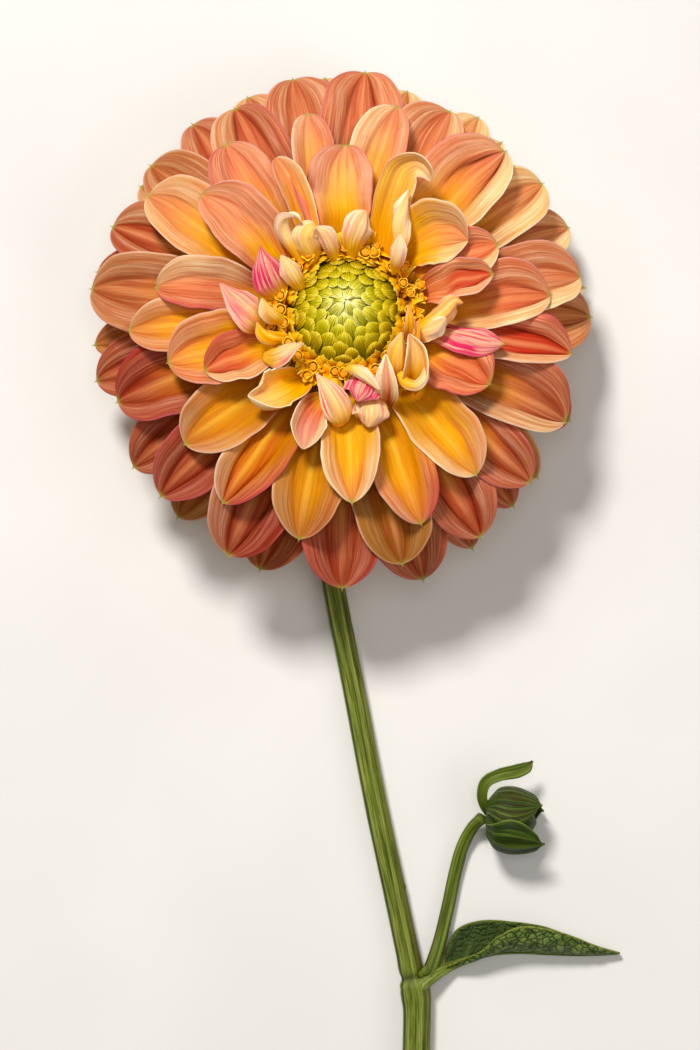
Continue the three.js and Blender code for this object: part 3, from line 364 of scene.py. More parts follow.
class Nodes:
    def __init__(self, name, **fixed):
        self.mat = bpy.data.materials.new(name)
        self.mat.use_nodes = True
        self.nt = self.mat.node_tree
        self.nt.nodes.clear()
        self.out = self.nt.nodes.new("ShaderNodeOutputMaterial")
        self.bsdf = self.nt.nodes.new("ShaderNodeBsdfPrincipled")
        self.nt.links.new(self.bsdf.outputs[0], self.out.inputs[0])
        for k, v in fixed.items():
            self.bsdf.inputs[k.replace("_", " ")].default_value = v

    def new(self, kind, **kw):
        n = self.nt.nodes.new(kind)
        for k, v in kw.items():
            setattr(n, k, v)
        return n

    def put(self, sock, v):
        if isinstance(v, bpy.types.NodeSocket):
            self.nt.links.new(v, sock)
        else:
            sock.default_value = v

    def attr(self, name):
        n = self.new("ShaderNodeAttribute", attribute_name=name)
        s = self.new("ShaderNodeSeparateXYZ")
        self.put(s.inputs[0], n.outputs["Vector"])
        return s.outputs[0], s.outputs[1], s.outputs[2]

    def m(self, op, a, b=None, c=None, clamp=False):
        n = self.new("ShaderNodeMath", operation=op, use_clamp=clamp)
        self.put(n.inputs[0], a)
        if b is not None:
            self.put(n.inputs[1], b)
        if c is not None:
            self.put(n.inputs[2], c)
        return n.outputs[0]

    def mul(self, a, b, clamp=False):
        return self.m("MULTIPLY", a, b, clamp=clamp)

    def add(self, a, b, clamp=False):
        return self.m("ADD", a, b, clamp=clamp)

    def step(self, x, a, b, lo=0.0, hi=1.0):
        n = self.new("ShaderNodeMapRange", interpolation_type="SMOOTHSTEP")
        for i, v in enumerate((x, a, b, lo, hi)):
            self.put(n.inputs[i], v)
        return n.outputs[0]

    def vec(self, x, y, z):
        n = self.new("ShaderNodeCombineXYZ")
        for i, v in enumerate((x, y, z)):
            self.put(n.inputs[i], v)
        return n.outputs[0]

    def noise(self, v, scale=1.0, detail=3.0, rough=0.55, dist=0.0):
        n = self.new("ShaderNodeTexNoise")
        self.put(n.inputs["Vector"], v)
        n.inputs["Scale"].default_value = scale
        n.inputs["Detail"].default_value = detail
        n.inputs["Roughness"].default_value = rough
        n.inputs["Distortion"].default_value = dist
        return n.outputs[0]

    def voro(self, v, scale=1.0, feature="DISTANCE_TO_EDGE", rand=1.0):
        n = self.new("ShaderNodeTexVoronoi", feature=feature)
        self.put(n.inputs["Vector"], v)
        n.inputs["Scale"].default_value = scale
        n.inputs["Randomness"].default_value = rand
        return n.outputs[0]

    def mix(self, f, a, b, blend="MIX"):
        n = self.new("ShaderNodeMix", data_type="RGBA", blend_type=blend)
        n.clamp_factor = True
        self.put(n.inputs[0], f)
        self.put(n.inputs[6], a)
        self.put(n.inputs[7], b)
        return n.outputs[2]

    def ramp(self, f, stops):
        n = self.new("ShaderNodeValToRGB")
        e = n.color_ramp.elements
        while len(e) > 1:
            e.remove(e[-1])
        e[0].position, e[0].color = stops[0][0], stops[0][1]
        for p, c in stops[1:]:
            x = e.new(p)
            x.color = c
        self.put(n.inputs[0], f)
        return n.outputs[0]

    def bump(self, h, dist=0.0002, strength=0.5, prev=None):
        n = self.new("ShaderNodeBump")
        n.inputs["Strength"].default_value = strength
        n.inputs["Distance"].default_value = dist
        self.put(n.inputs["Height"], h)
        if prev is not None:
            self.put(n.inputs["Normal"], prev)
        return n.outputs[0]

    def finish(self, colour, rough=None, normal=None):
        self.put(self.bsdf.inputs["Base Color"], colour)
        if rough is not None:
            self.put(self.bsdf.inputs["Roughness"], rough)
        if normal is not None:
            self.put(self.bsdf.inputs["Normal"], normal)
        return self.mat


def petal_material(name, lobe="#E68548", dusky_shade="#B15729", gold="#EFA200", gold2="#FCC41A", reverse="#F4B070", crest_highlight_w=0.45, throat_shade=0.0, deep_shade="#5A2000"):
    n = Nodes(name, Roughness=0.5, Subsurface_Weight=0.12, Subsurface_Scale=0.0010, Sheen_Weight=0.0, Specular_IOR_Level=0.035)
    n.bsdf.inputs["Subsurface Radius"].default_value = (1.0, 0.40, 0.12)
    s, t, side = n.attr("pa")
    ac, al, seed = n.attr("pm")
    cream, dusk_and_shade, groove_tone_and_shade = n.attr("k1")
    pink, olive, red = n.attr("k2")
    rim, ridge, goldm = n.attr("k3")
    magenta, mucro, painted_glow = n.attr("k4")
    shade, painted_light, _ = n.attr("k5")
    fine = n.noise(n.vec(n.mul(ac, 2.9), n.mul(al, 0.075), n.mul(seed, 7.3)), 1.0, 4.0, 0.62)
    hair = n.noise(n.vec(n.mul(ac, 7.5), n.mul(al, 0.16), n.mul(seed, 4.1)), 1.0, 2.0, 0.5)
    broad = n.noise(n.vec(n.mul(ac, 0.85), n.mul(al, 0.07), n.add(n.mul(seed, 3.1), 5.0)), 1.0, 2.0, 0.5)
    patch = n.noise(n.vec(n.mul(ac, 0.22), n.mul(al, 0.14), n.mul(seed, 1.7)), 1.0, 3.0, 0.55)
    grain = n.noise(n.vec(n.mul(ac, 5.0), n.mul(al, 2.2), seed), 1.0, 3.0, 0.6)
    mid = n.noise(n.vec(n.mul(ac, 1.5), n.mul(al, 0.045), n.add(n.mul(seed, 6.1), 2.0)), 1.0, 3.0, 0.55)
    low, high = n.step(mid, 0.47, 0.39), n.step(mid, 0.54, 0.63)
    streak = n.step(fine, 0.40, 0.60)
    hairs = n.step(hair, 0.43, 0.57)
    wide = n.step(broad, 0.36, 0.64)
    spots = n.step(patch, 0.35, 0.65)
    # blade: orange salmon to terracotta, the terracotta partly painted shade; flushed pink, creamy lobes
    # dusk: random tone spots plus painted shade, darker on outer florets and by bearing
    d = n.add(dusk_and_shade, n.mul(n.add(spots, -0.5), 0.45), clamp=True)
    c = n.mix(d, col(lobe), col(dusky_shade))
    c = n.mix(n.mul(pink, n.add(n.mul(low, 0.55), n.add(n.mul(hairs, 0.14), 0.40)), clamp=True), c, col("#DE484C"))
    c = n.mix(n.mul(n.add(wide, -0.2, clamp=True), 0.40), c, col("#FDB466"))
    c = n.mix(n.mul(high, 0.38), c, n.mix(pink, col("#FFBE84"), col("#FAA690")))
    cr = n.mul(cream, n.add(n.mul(spots, 0.22), n.add(n.mul(wide, 0.22), 0.72)), clamp=True)
    c = n.mix(cr, c, n.mix(wide, col("#F6C284"), col("#FFE4B2")))
    c = n.mix(n.mul(olive, n.add(n.mul(spots, 0.3), 0.62)), c, n.mix(wide, col("#D8AC50"), col("#B88A34")))
    ax = n.m("ABSOLUTE", s)
    # painted highlight along the crest of each lobe
    crest_highlight = n.mul(n.mul(n.step(ax, 0.34, 0.60), n.step(ax, 0.92, 0.62)), n.mul(n.step(t, 0.25, 0.7), n.add(n.mul(spots, 0.5), 0.5)))
    c = n.mix(n.mul(crest_highlight, crest_highlight_w), c, n.mix(cr, n.mix(hairs, col("#FAAC84"), col("#FFC8A4")), col("#FFF3C6")))
    # golden claw
    g = n.add(n.mul(goldm, 1.15), n.mul(n.add(broad, -0.5), n.mul(n.step(goldm, 0.0, 0.4), 1.2)), clamp=True)
    c = n.mix(g, c, n.mix(streak, col(gold2), col(gold)))
    # veins
    vein = n.mul(n.add(1.0, n.mul(streak, -1.0)), n.add(n.mul(goldm, -0.22), 0.50), clamp=True)
    veinc = n.mix(cr, n.mix(goldm, col("#B03808"), col("#DE7000")), col("#E89A38"))
    c = n.mix(vein, c, veinc)
    c = n.mix(n.mul(n.add(1.0, n.mul(hairs, -1.0)), 0.36), c, veinc)
    c = n.mix(n.mul(low, n.add(n.mul(goldm, -0.25), 0.50)), c, n.mix(cr, n.mix(goldm, col("#9C2C10"), col("#D07000")), col("#D8924A")))
    # painted shade at the base of the blade, where it runs under the florets above
    c = n.mix(n.mul(n.step(t, 0.74, 0.46), throat_shade), c, n.mix(streak, col(deep_shade), n.mix(0.5, c, col(deep_shade))))
    # painted shade darkens florets by bearing; painted light lightens those facing the top
    c = n.mix(shade, c, n.mix(n.mul(olive, 1.3, clamp=True), col("#CBAAB2"), col("#C6B690")), "MULTIPLY")
    c = n.mix(n.mul(painted_light, n.add(0.25, n.mul(spots, 0.35))), c, n.mix(goldm, col("#FFC49C"), col("#FFC428")))
    # grooves darkened, partly their own maroon and partly painted crease shade; red throat; ridge lightened, partly
    # pale keel and partly painted highlight
    gm = n.mul(groove_tone_and_shade, n.add(n.mul(streak, 0.30), 0.78), clamp=True)
    c = n.mix(n.mul(gm, 0.66), c, n.mix(goldm, col("#9C2A06"), col("#C05600")))
    c = n.mix(n.mul(n.step(gm, 0.38, 1.0), 0.95), c, n.mix(goldm, col("#4E1204"), col("#8A4002")))
    c = n.mix(n.mul(red, n.add(n.mul(streak, 0.4), 0.55), clamp=True), c, col("#B4200A"))
    c = n.mix(n.mul(ridge, 0.42), c, n.mix(goldm, col("#EE9660"), col("#FBCB3C")))
    # magenta stripes
    ms = n.mul(magenta, n.step(n.noise(n.vec(n.mul(ac, 1.7), n.mul(al, 0.10), n.mul(seed, 2.3)), 1.0, 2.0), 0.42, 0.56), clamp=True)
    c = n.mix(n.mul(magenta, 0.65), c, col("#F9A0A8"))
    c = n.mix(n.mul(ms, 0.92), c, col("#D81858"))
    # reverse side
    r = n.mix(streak, col("#F49C30"), col(reverse))
    r = n.mix(n.mul(cream, n.add(n.mul(wide, 0.35), 0.65), clamp=True), r, n.mix(n.step(al, 3.0, 7.6), n.mix(hairs, col("#F0A000"), col("#FFCA1C")), n.mix(hairs, col("#FFDC92"), col("#FFF6E0"))))
    r = n.mix(n.mul(low, 0.42), r, n.mix(n.step(al, 2.2, 6.8), col("#D88400"), col("#EFA850")))
    r = n.mix(g, r, n.mix(streak, col("#F2A000"), col("#FFCC1C")))
    # painted glow: near-white highlight on the outer part of the reverse
    r = n.mix(n.mul(painted_glow, n.step(al, 2.0, 5.0, 0.25, 0.85)), r, n.mix(0.5, r, col("#FFF8EA")))
    lines = n.step(n.noise(n.vec(n.mul(ac, 1.6), n.mul(al, 0.10), n.mul(seed, 5.3)), 1.0, 3.0, 0.6), 0.46, 0.60)
    r = n.mix(n.mul(n.mul(pink, 1.5, clamp=True), n.add(n.mul(lines, 0.82), 0.10)), r, n.mix(hairs, col("#E03A50"), col("#F27466")))
    r = n.mix(n.mul(olive, 0.5), r, col("#B9A442"))
    r = n.mix(n.mul(magenta, 0.60), r, col("#F89CAC"))
    r = n.mix(n.mul(ms, 0.95), r, col("#D61458"))
    # ridge and grooves on the reverse, partly painted highlight and painted crease shade
    r = n.mix(n.mul(ridge, 0.5), r, col("#FDE49C"))
    r = n.mix(n.mul(groove_tone_and_shade, 0.35), r, col("#B8541C"))
    c = n.mix(side, c, r)
    rc = n.mix(cr, n.mix(n.mul(pink, 1.7, clamp=True), col("#C8683C"), col("#B82C50")), col("#FFF0CC"))
    c = n.mix(n.mul(rim, 0.75), c, rc)
    c = n.mix(mucro, c, col("#A8A43C"))
    # painted glow on the front side as well
    c = n.mix(n.mul(painted_glow, n.add(1.0, n.mul(side, -1.0))), c, n.mix(0.55, c, col("#FFF6DC")))
    h = n.add(n.mul(fine, 0.8), n.add(n.mul(grain, 0.2), n.mul(hair, 0.35)))
    nrm = n.bump(h, 0.00026, 0.6)
    return n.finish(c, n.step(grain, 0.3, 0.7, 0.42, 0.56), nrm)


def disc_material():
    n = Nodes("closed_floret_lime", Roughness=0.34, Subsurface_Weight=0.10, Subsurface_Scale=0.0007, Specular_IOR_Level=0.28)
    n.bsdf.inputs["Subsurface Radius"].default_value = (0.8, 0.8, 0.1)
    a, b, rr = n.attr("pa")
    ac, al, seed = n.attr("pm")
    rib, edge, rnd = n.attr("k1")
    v = n.noise(n.vec(n.mul(ac, 3.4), n.mul(al, 0.30), n.mul(seed, 5.0)), 1.0, 3.0, 0.6)
    # darker towards each scale's base, partly the florets' own olive and partly painted shade under the overlapping
    # scales
    c = n.ramp(b, [(0.0, col("#3C3C00")), (0.25, col("#7C7C00")), (0.55, col("#B8B000")), (0.82, col("#DECE00")), (1.0, col("#F2E410"))])
    warm = n.ramp(b, [(0.0, col("#3C2E00")), (0.35, col("#887000")), (0.75, col("#CCA400")), (1.0, col("#ECC008"))])
    c = n.mix(n.mul(n.step(rr, 0.52, 1.0), n.add(n.mul(rnd, 0.4), 0.6)), c, warm)
    c = n.mix(n.mul(n.step(rr, 0.62, 0.15), n.step(b, 0.30, 0.95)), c, col("#F6F270"))
    # painted highlight: near-white tips on the scales near the centre
    c = n.mix(n.mul(n.mul(n.step(rr, 0.52, 0.20), 0.85), n.step(b, 0.74, 0.95)), c, col("#FFFDC8"))
    c = n.mix(n.mul(rib, n.step(v, 0.3, 0.7, 0.98, 0.50)), c, n.mix(n.step(rr, 0.6, 1.0), col("#5C6400"), col("#544600")))
    # painted highlight along the scale rims and tips
    c = n.mix(n.mul(edge, n.step(rr, 1.0, 0.2, 0.45, 0.85)), c, n.mix(n.step(rr, 0.35, 0.8), col("#FFFAB0"), col("#F4D234")))
    c = n.mix(n.mul(n.step(v, 0.50, 0.72), 0.5), c, n.mix(n.step(rr, 0.2, 0.7), col("#FDF8A4"), col("#E4CC28")))
    nrm = n.bump(v, 0.00016, 0.6)
    return n.finish(c, n.step(v, 0.3, 0.7, 0.30, 0.46), nrm)


def floret_material():
    n = Nodes("open_floret_gold", Roughness=0.42, Subsurface_Weight=0.12, Subsurface_Scale=0.0006, Specular_IOR_Level=0.16)
    n.bsdf.inputs["Subsurface Radius"].default_value = (1.0, 0.5, 0.06)
    a, b, kind = n.attr("pa")
    ac, al, seed = n.attr("pm")
    dark, anther, green = n.attr("k1")
    v = n.noise(n.vec(n.mul(ac, 3.0), n.mul(al, 0.5), n.mul(seed, 5.0)), 1.0, 3.0, 0.6)
    w = n.noise(n.vec(n.mul(ac, 6.0), n.mul(al, 6.0), n.mul(seed, 9.0)), 1.0, 3.0, 0.6)
    # dark brown towards the foot of each floret, painted shade among the florets
    c = n.ramp(b, [(0.0, col("#4A2000")), (0.28, col("#9A5200")), (0.58, col("#EA9600")), (0.82, col("#FFC000")), (1.0, col("#FFE048"))])
    c = n.mix(n.step(v, 0.44, 0.7, 0.0, 0.5), c, col("#D87E00"))
    c = n.mix(green, c, n.mix(b, col("#8A7C00"), col("#DCC020")))
    c = n.mix(anther, c, n.mix(n.step(w, 0.4, 0.62), col("#E68600"), col("#FFB420")))
    # painted shade: dark bed, tube insides and scale bases
    c = n.mix(dark, c, n.mix(n.step(w, 0.35, 0.65), col("#3A1800"), col("#8A4A00")))
    nrm = n.bump(n.add(v, n.mul(w, 0.6)), 0.00015, 0.5)
    return n.finish(c, n.step(w, 0.3, 0.7, 0.38, 0.58), nrm)


def green_material(name, base="#7C9638", dark="#4F6A1C", pale="#B7C07A", purple="#5C3A28", gloss=0.42, scale=1.0):
    """Ribbed green tissue: k1 = (pale ridge, purple-brown blush, dark strip: darker grooves partly as painted shade,
    the stem's shaded side as painted shade), pa = (across, along 0-1, side).
    """
    n = Nodes(name, Roughness=gloss, Subsurface_Weight=0.08, Subsurface_Scale=0.0012, Specular_IOR_Level=0.16)
    n.bsdf.inputs["Subsurface Radius"].default_value = (0.5, 0.8, 0.15)
    a, b, side = n.attr("pa")
    ac, al, seed = n.attr("pm")
    ridge, purple_m, dark_m = n.attr("k1")
    fine = n.noise(n.vec(n.mul(ac, 3.2 * scale), n.mul(al, 0.10 * scale), n.mul(seed, 4.0)), 1.0, 4.0, 0.62)
    cell = n.noise(n.vec(n.mul(ac, 2.0 * scale), n.mul(al, 0.9 * scale), seed), 1.0, 4.0, 0.6)
    spot = n.noise(n.vec(n.mul(ac, 0.5 * scale), n.mul(al, 0.12 * scale), n.add(seed, 4.0)), 1.0, 3.0, 0.5)
    c = n.mix(n.step(fine, 0.40, 0.60), col(dark), col(base))
    c = n.mix(n.mul(ridge, n.step(spot, 0.25, 0.65, 0.55, 0.95)), c, n.mix(n.step(fine, 0.36, 0.58), col(base), col(pale)))
    c = n.mix(n.mul(purple_m, n.step(fine, 0.34, 0.62, 0.35, 0.95)), c, col(purple))
    c = n.mix(n.mul(dark_m, 0.85), c, col("#151A03"))
    speck = n.step(n.noise(n.vec(n.mul(ac, 2.6 * scale), n.mul(al, 1.6 * scale), n.add(seed, 9.0)), 1.0, 2.0), 0.70, 0.78, 0.0, 0.5)
    c = n.mix(speck, c, col("#241A06"))
    nrm = n.bump(n.add(fine, n.mul(cell, 0.5)), 0.00032, 0.65)
    return n.finish(c, n.step(cell, 0.3, 0.7, gloss - 0.06, gloss + 0.12), nrm)


def leaf_material():
    n = Nodes("leaf_green", Roughness=0.38, Subsurface_Weight=0.05, Subsurface_Scale=0.001, Specular_IOR_Level=0.16)
    n.bsdf.inputs["Subsurface Radius"].default_value = (0.4, 0.8, 0.15)
    a, b, side = n.attr("pa")
    ac, al, seed = n.attr("pm")
    vein, edge, stalk = n.attr("k1")
    fold, far, net = n.attr("k2")
    warp = n.noise(n.vec(ac, al, seed), 0.6, 2.0)
    cellv = n.vec(n.add(ac, n.mul(warp, 0.6)), n.add(n.mul(al, 0.85), n.mul(warp, 0.6)), seed)
    cells = n.voro(cellv, 0.72)
    small = n.voro(cellv, 2.1)
    netv = n.mul(n.step(cells, 0.12, 0.02), n.add(1.0, n.mul(stalk, -1.0)))
    nets = n.mul(n.step(small, 0.13, 0.02), 0.5)
    blot = n.noise(n.vec(n.mul(ac, 0.35), n.mul(al, 0.3), seed), 1.0, 4.0)
    c = n.mix(n.step(blot, 0.35, 0.65), col("#587422"), col("#8CA44C"))
    c = n.mix(far, c, n.mix(n.step(blot, 0.35, 0.65), col("#101A0A"), col("#263420")))
    c = n.mix(n.mul(netv, 0.85), c, col("#0E1604"))
    c = n.mix(n.mul(nets, 0.6), c, col("#182408"))
    c = n.mix(n.mul(vein, 0.8), c, col("#68762A"))
    c = n.mix(n.mul(edge, 0.85), c, col("#8E9430"))
    st = n.noise(n.vec(n.mul(ac, 2.4), n.mul(al, 0.15), seed), 1.0, 3.0)
    c = n.mix(stalk, c, n.mix(n.step(st, 0.35, 0.65), col("#4E5C16"), col("#8A9244")))
    c = n.mix(side, c, n.mix(0.45, c, col("#5A6E34")))
    h = n.add(n.mul(n.step(cells, 0.0, 0.25), 1.0), n.mul(n.step(small, 0.0, 0.2), 0.35))
    h = n.mul(h, n.add(1.0, n.mul(stalk, -0.9)))
    nrm = n.bump(n.add(h, n.mul(st, 0.25)), 0.00045, 0.9)
    return n.finish(c, n.step(blot, 0.3, 0.7, 0.34, 0.48), nrm)


# ------------------------------------------------------------------ ray florets
def section(phi, fold, flare, na):
    """Half cross-section of a blade, unit half width: x, z and slope for each row."""
    a = np.linspace(0, 1, na)
    g = (1 - fold)[:, None] * a + fold[:, None] * sstep(0.14, 0.50, a)
    g = g * (1 - flare[:, None] * sstep(0.70, 1.0, a))
    th = phi[:, None] * g
    cx, sz = np.cos(th), np.sin(th)
    da = 1.0 / (na - 1)
    x = np.concatenate([np.zeros((len(phi), 1)), np.cumsum((cx[:, 1:] + cx[:, :-1]) / 2 * da, 1)], 1)
    z = np.concatenate([np.zeros((len(phi), 1)), np.cumsum((sz[:, 1:] + sz[:, :-1]) / 2 * da, 1)], 1)
    k = 1 / np.maximum(x.max(1, keepdims=True), 0.12)
    return a, x * k, z * k, th


CELL, HALF_N = 0.3, 200
CEIL = np.full((2 * HALF_N, 2 * HALF_N), 99.0)


def fine_grid(Q, k=4):
    """Bilinear refinement of a grid of points, for the height map."""
    n, m = Q.shape[:2]
    i = np.linspace(0, n - 1, (n - 1) * 2 + 1)
    j = np.linspace(0, m - 1, (m - 1) * k + 1)
    i0, j0 = np.minimum(i.astype(int), n - 2), np.minimum(j.astype(int), m - 2)
    fi, fj = (i - i0)[:, None, None], (j - j0)[None, :, None]
    A, B = Q[i0][:, j0], Q[i0][:, j0 + 1]
    C, E = Q[i0 + 1][:, j0], Q[i0 + 1][:, j0 + 1]
    return (A * (1 - fj) + B * fj) * (1 - fi) + (C * (1 - fj) + E * fj) * fi


def cell_of(Q):
    return (np.clip((Q[..., 0] / CELL + HALF_N).astype(int), 0, 2 * HALF_N - 1),
            np.clip((Q[..., 1] / CELL + HALF_N).astype(int), 0, 2 * HALF_N - 1))


def blur(D, n):
    for _ in range(n):
        E = np.pad(D, 1, mode="edge")
        D = (E[:-2, 1:-1] + E[2:, 1:-1] + E[1:-1, :-2] + E[1:-1, 2:] + 2 * D) / 6
    return D


def tuck(Q, u, clear, limit):
    """Lower the points of a blade that would rise through the blades already laid above it."""
    for _ in range(3):
        i, j = cell_of(Q)
        top = CEIL[i, j]
        for a, b in ((1, 0), (-1, 0), (0, 1), (0, -1)):
            top = np.minimum(top, CEIL[np.clip(i + a, 0, 2 * HALF_N - 1), np.clip(j + b, 0, 2 * HALF_N - 1)])
        need = np.clip(Q[..., 2] - (top - clear), 0, limit)
        if need.max() < 0.02:
            break
        soft = blur(need, 8)
        drop = np.maximum(soft * 1.0, need)
        drop = 0.5 * drop + 0.5 * blur(drop, 2)
        Q = Q.copy()
        Q[..., 2] -= drop * sstep(0.0, 0.12, u)[:, None]
    return Q


def lay(Q):
    F = fine_grid(Q)
    i, j = cell_of(F)
    np.minimum.at(CEIL, (i.ravel(), j.ravel()), F[..., 2].ravel())


def blade(sh, P, D, S0, u, hl, hr, phi, turn, L, o, gold, seed):
    """One ray floret blade from its keel: P, D, S0 rows; writes a closed shell into sh."""
    nt, na = len(P), o.get("na", 20)
    fold = lerp(0.20, o.get("fold", 0.45), sstep(0.15, 0.75, u))
    flare = o.get("flare", 0.22) * sstep(0.2, 0.6, u) * (1 - 0.6 * sstep(0.9, 1, u))
    a, x, z, th = section(phi, fold, flare, na)
    N0 = np.cross(D, S0)
    cw, sw = np.cos(turn)[:, None], np.sin(turn)[:, None]
    S = S0 * cw + N0 * sw
    N = -S0 * sw + N0 * cw
    ag = lerp(0.37, 0.24, sstep(0.6, 1.0, u))[:, None]
    env = (sstep(0.18, 0.66, u) * (1 - 0.55 * sstep(0.93, 1.0, u)))[:, None]
    hm = np.maximum(hl, hr)
    hs = np.minimum(1.0, hm / 6.5)[:, None]
    gr = o.get("gr", 0.5)
    A = a[None, :]
    gro = np.exp(-((A - ag) / lerp(0.055, 0.075, u)[:, None]) ** 2)
    lob = np.sin(math.pi * np.clip((A - ag) / (1 - ag), 0, 1)) ** 0.8
    rid = np.exp(-(A / 0.085) ** 2)
    disp = env * hs * (-(0.16 + 0.34 * gr) * gro + 0.36 * lob + (0.12 + 0.20 * gr) * rid)
    small = 0.05 * np.cos(2 * math.pi * (A * 5.5 + 0.2 * wob(u, seed + 3)[:, None])) * env * hs
    disp = disp + small
    und = o.get("und", 0.22)

    def half(sign, h):
        w1 = wob(u * 1.6, seed + (1 if sign > 0 else 2))[:, None]
        w2 = wob(u * 3.1, seed + (5 if sign > 0 else 6))[:, None]
        d = disp + und * hs * A ** 3 * (w1 + 0.5 * w2) * sstep(0.15, 0.4, u)[:, None]
        h = (h * (1 + 0.03 * wob(u * 2.3, seed + (8 if sign > 0 else 9))))[:, None]
        xx, zz = sign * x * h, z * h
        nx, nz = -sign * np.sin(th), np.cos(th)
        Q = P[:, None] + S[:, None] * (xx + nx * d)[..., None] + N[:, None] * (zz + nz * d)[..., None]
        return Q

    Ql, Qr = half(1, hl), half(-1, hr)
    Q = np.concatenate([Qr[:, :0:-1], Ql], 1)
    if "clear" in o:
        Q = tuck(Q, u, o["clear"], o["limit"])
    lay(Q)
    s = np.concatenate([-a[:0:-1], a])
    Sg, Ug = np.broadcast_to(s, (nt, len(s))), np.broadcast_to(u[:, None], (nt, len(s)))
    Ag = np.abs(Sg)
    hh = np.where(Sg > 0, hl[:, None], hr[:, None])
    full = lambda f: np.concatenate([f[:, :0:-1], f], 1)
    th_mm = (lerp(0.21, 0.07, Ag ** 2)) * np.minimum(1.0, 0.35 + hh / 3.0) * o.get("thick", 1.0)
    V, q = sheet(to_world(Q), th_mm)
    # fields
    left = sstep(-0.12, 0.12, Sg)
    cl, cr = o.get("cl", 0.1), o.get("cr", 0.1)
    cen = o.get("cc", 0.30 * (cl + cr) / 2)
    side_c = lerp(cr, cl, left)
    ca, cb = o.get("cm", (0.20, 0.46))
    cream = np.maximum(lerp(cen, side_c, sstep(ca, cb, Ag)), o.get("ct", 0.0) * sstep(0.62, 0.92, Ug)) * sstep(0.12, 0.45, Ug)
    grf = full(gro)
    rdf = full(np.broadcast_to(rid, (nt, na)))
    agf = np.broadcast_to(ag, (nt, len(s)))
    chan = 1 - sstep(agf * 0.7, agf * 1.2, Ag)
    # grooves and the channel near the tip, darkened partly as painted crease shade
    groove_tone_and_shade = np.clip(gr * (grf * sstep(0.28, 0.75, Ug) * 0.95 + chan * (1 - 0.75 * rdf) * sstep(0.35, 0.95, Ug) * lerp(0.15, 0.60, sstep(0.6, 1.0, gr))), 0, 1)
    pink = np.clip(o.get("pk", 0.3) * (0.35 + 0.65 * sstep(0.35, 0.9, Ag)) * sstep(0.15, 0.6, Ug), 0, 1)
    olive = o.get("oc", 0.0) * sstep(0.3, 0.65, Ug)
    red = np.clip(o.get("rd", 0.0) * chan * sstep(0.25, 0.6, Ug) * (1 - 0.4 * rdf), 0, 1)
    rim = np.exp(-(((1 - Ag) * np.maximum(hh, 0.05)) / 0.26) ** 2) * sstep(0.1, 0.35, Ug)
    ridge = rdf * sstep(0.22, 0.5, Ug) * (1 - 0.75 * sstep(0.8, 1, Ug))
    mucro = np.clip(np.exp(-((1.0 - Ug) * L / 0.55) ** 2), 0, 1) * o.get("mu", 0.75)
    if isinstance(gold, tuple):                          # the lobes lose the gold sooner than the midrib
        far = gold[2][:, None] + 9.0 * sstep(0.20, 0.85, Ag) - 1.0
        g = 1 - sstep(gold[0], gold[1], far)
    else:
        g = np.broadcast_to(gold[:, None], (nt, len(s)))
    # dusk: partly painted shade, by level and bearing, deeper at the tips of outer florets
    dusk_and_shade = np.clip(np.full_like(Sg, o.get("dk", 0.2)) * sstep(0.3, 0.8, Ug) + o.get("td", 0.0) * sstep(0.62, 0.98, Ug), 0, 1)
    mg = np.full_like(Sg, o.get("mg", 0.0)) * sstep(0.2, 0.5, Ug)
    # gl: painted glow on the outer part of the blade
    gl = np.full_like(Sg, o.get("gl", 0.0)) * sstep(0.3, 0.7, Ug)
    pa = both(Sg, Ug, np.zeros_like(Sg))
    pa[len(pa) // 2:, 2] = 1.0
    wmax = float(hm.max())
    sh.add(V, quads=q, att={
        "pa": pa, "pm": both(Sg * wmax * 1.15, Ug * L, np.full_like(Sg, seed)),
        "k1": both(cream, dusk_and_shade, groove_tone_and_shade), "k2": both(pink, olive, red),
        "k3": both(rim, ridge, g), "k4": both(mg, mucro, gl),
        "k5": both(np.full_like(Sg, o.get("sh", 0.0)) * sstep(0.10, 0.35, Ug), np.full_like(Sg, o.get("br", 0.0)) * sstep(0.2, 0.5, Ug), np.zeros_like(Sg))})


seed_no = [0]


def next_seed():
    seed_no[0] += 1
    return (seed_no[0] * 0.618034) % 1.0 * 10 + 0.37


def about(az, centre, width):
    """Weight of a floret by how near its azimuth lies to a bearing, in degrees."""
    d = (math.degrees(az) - centre + 180) % 360 - 180
    return math.exp(-(d / width) ** 2)


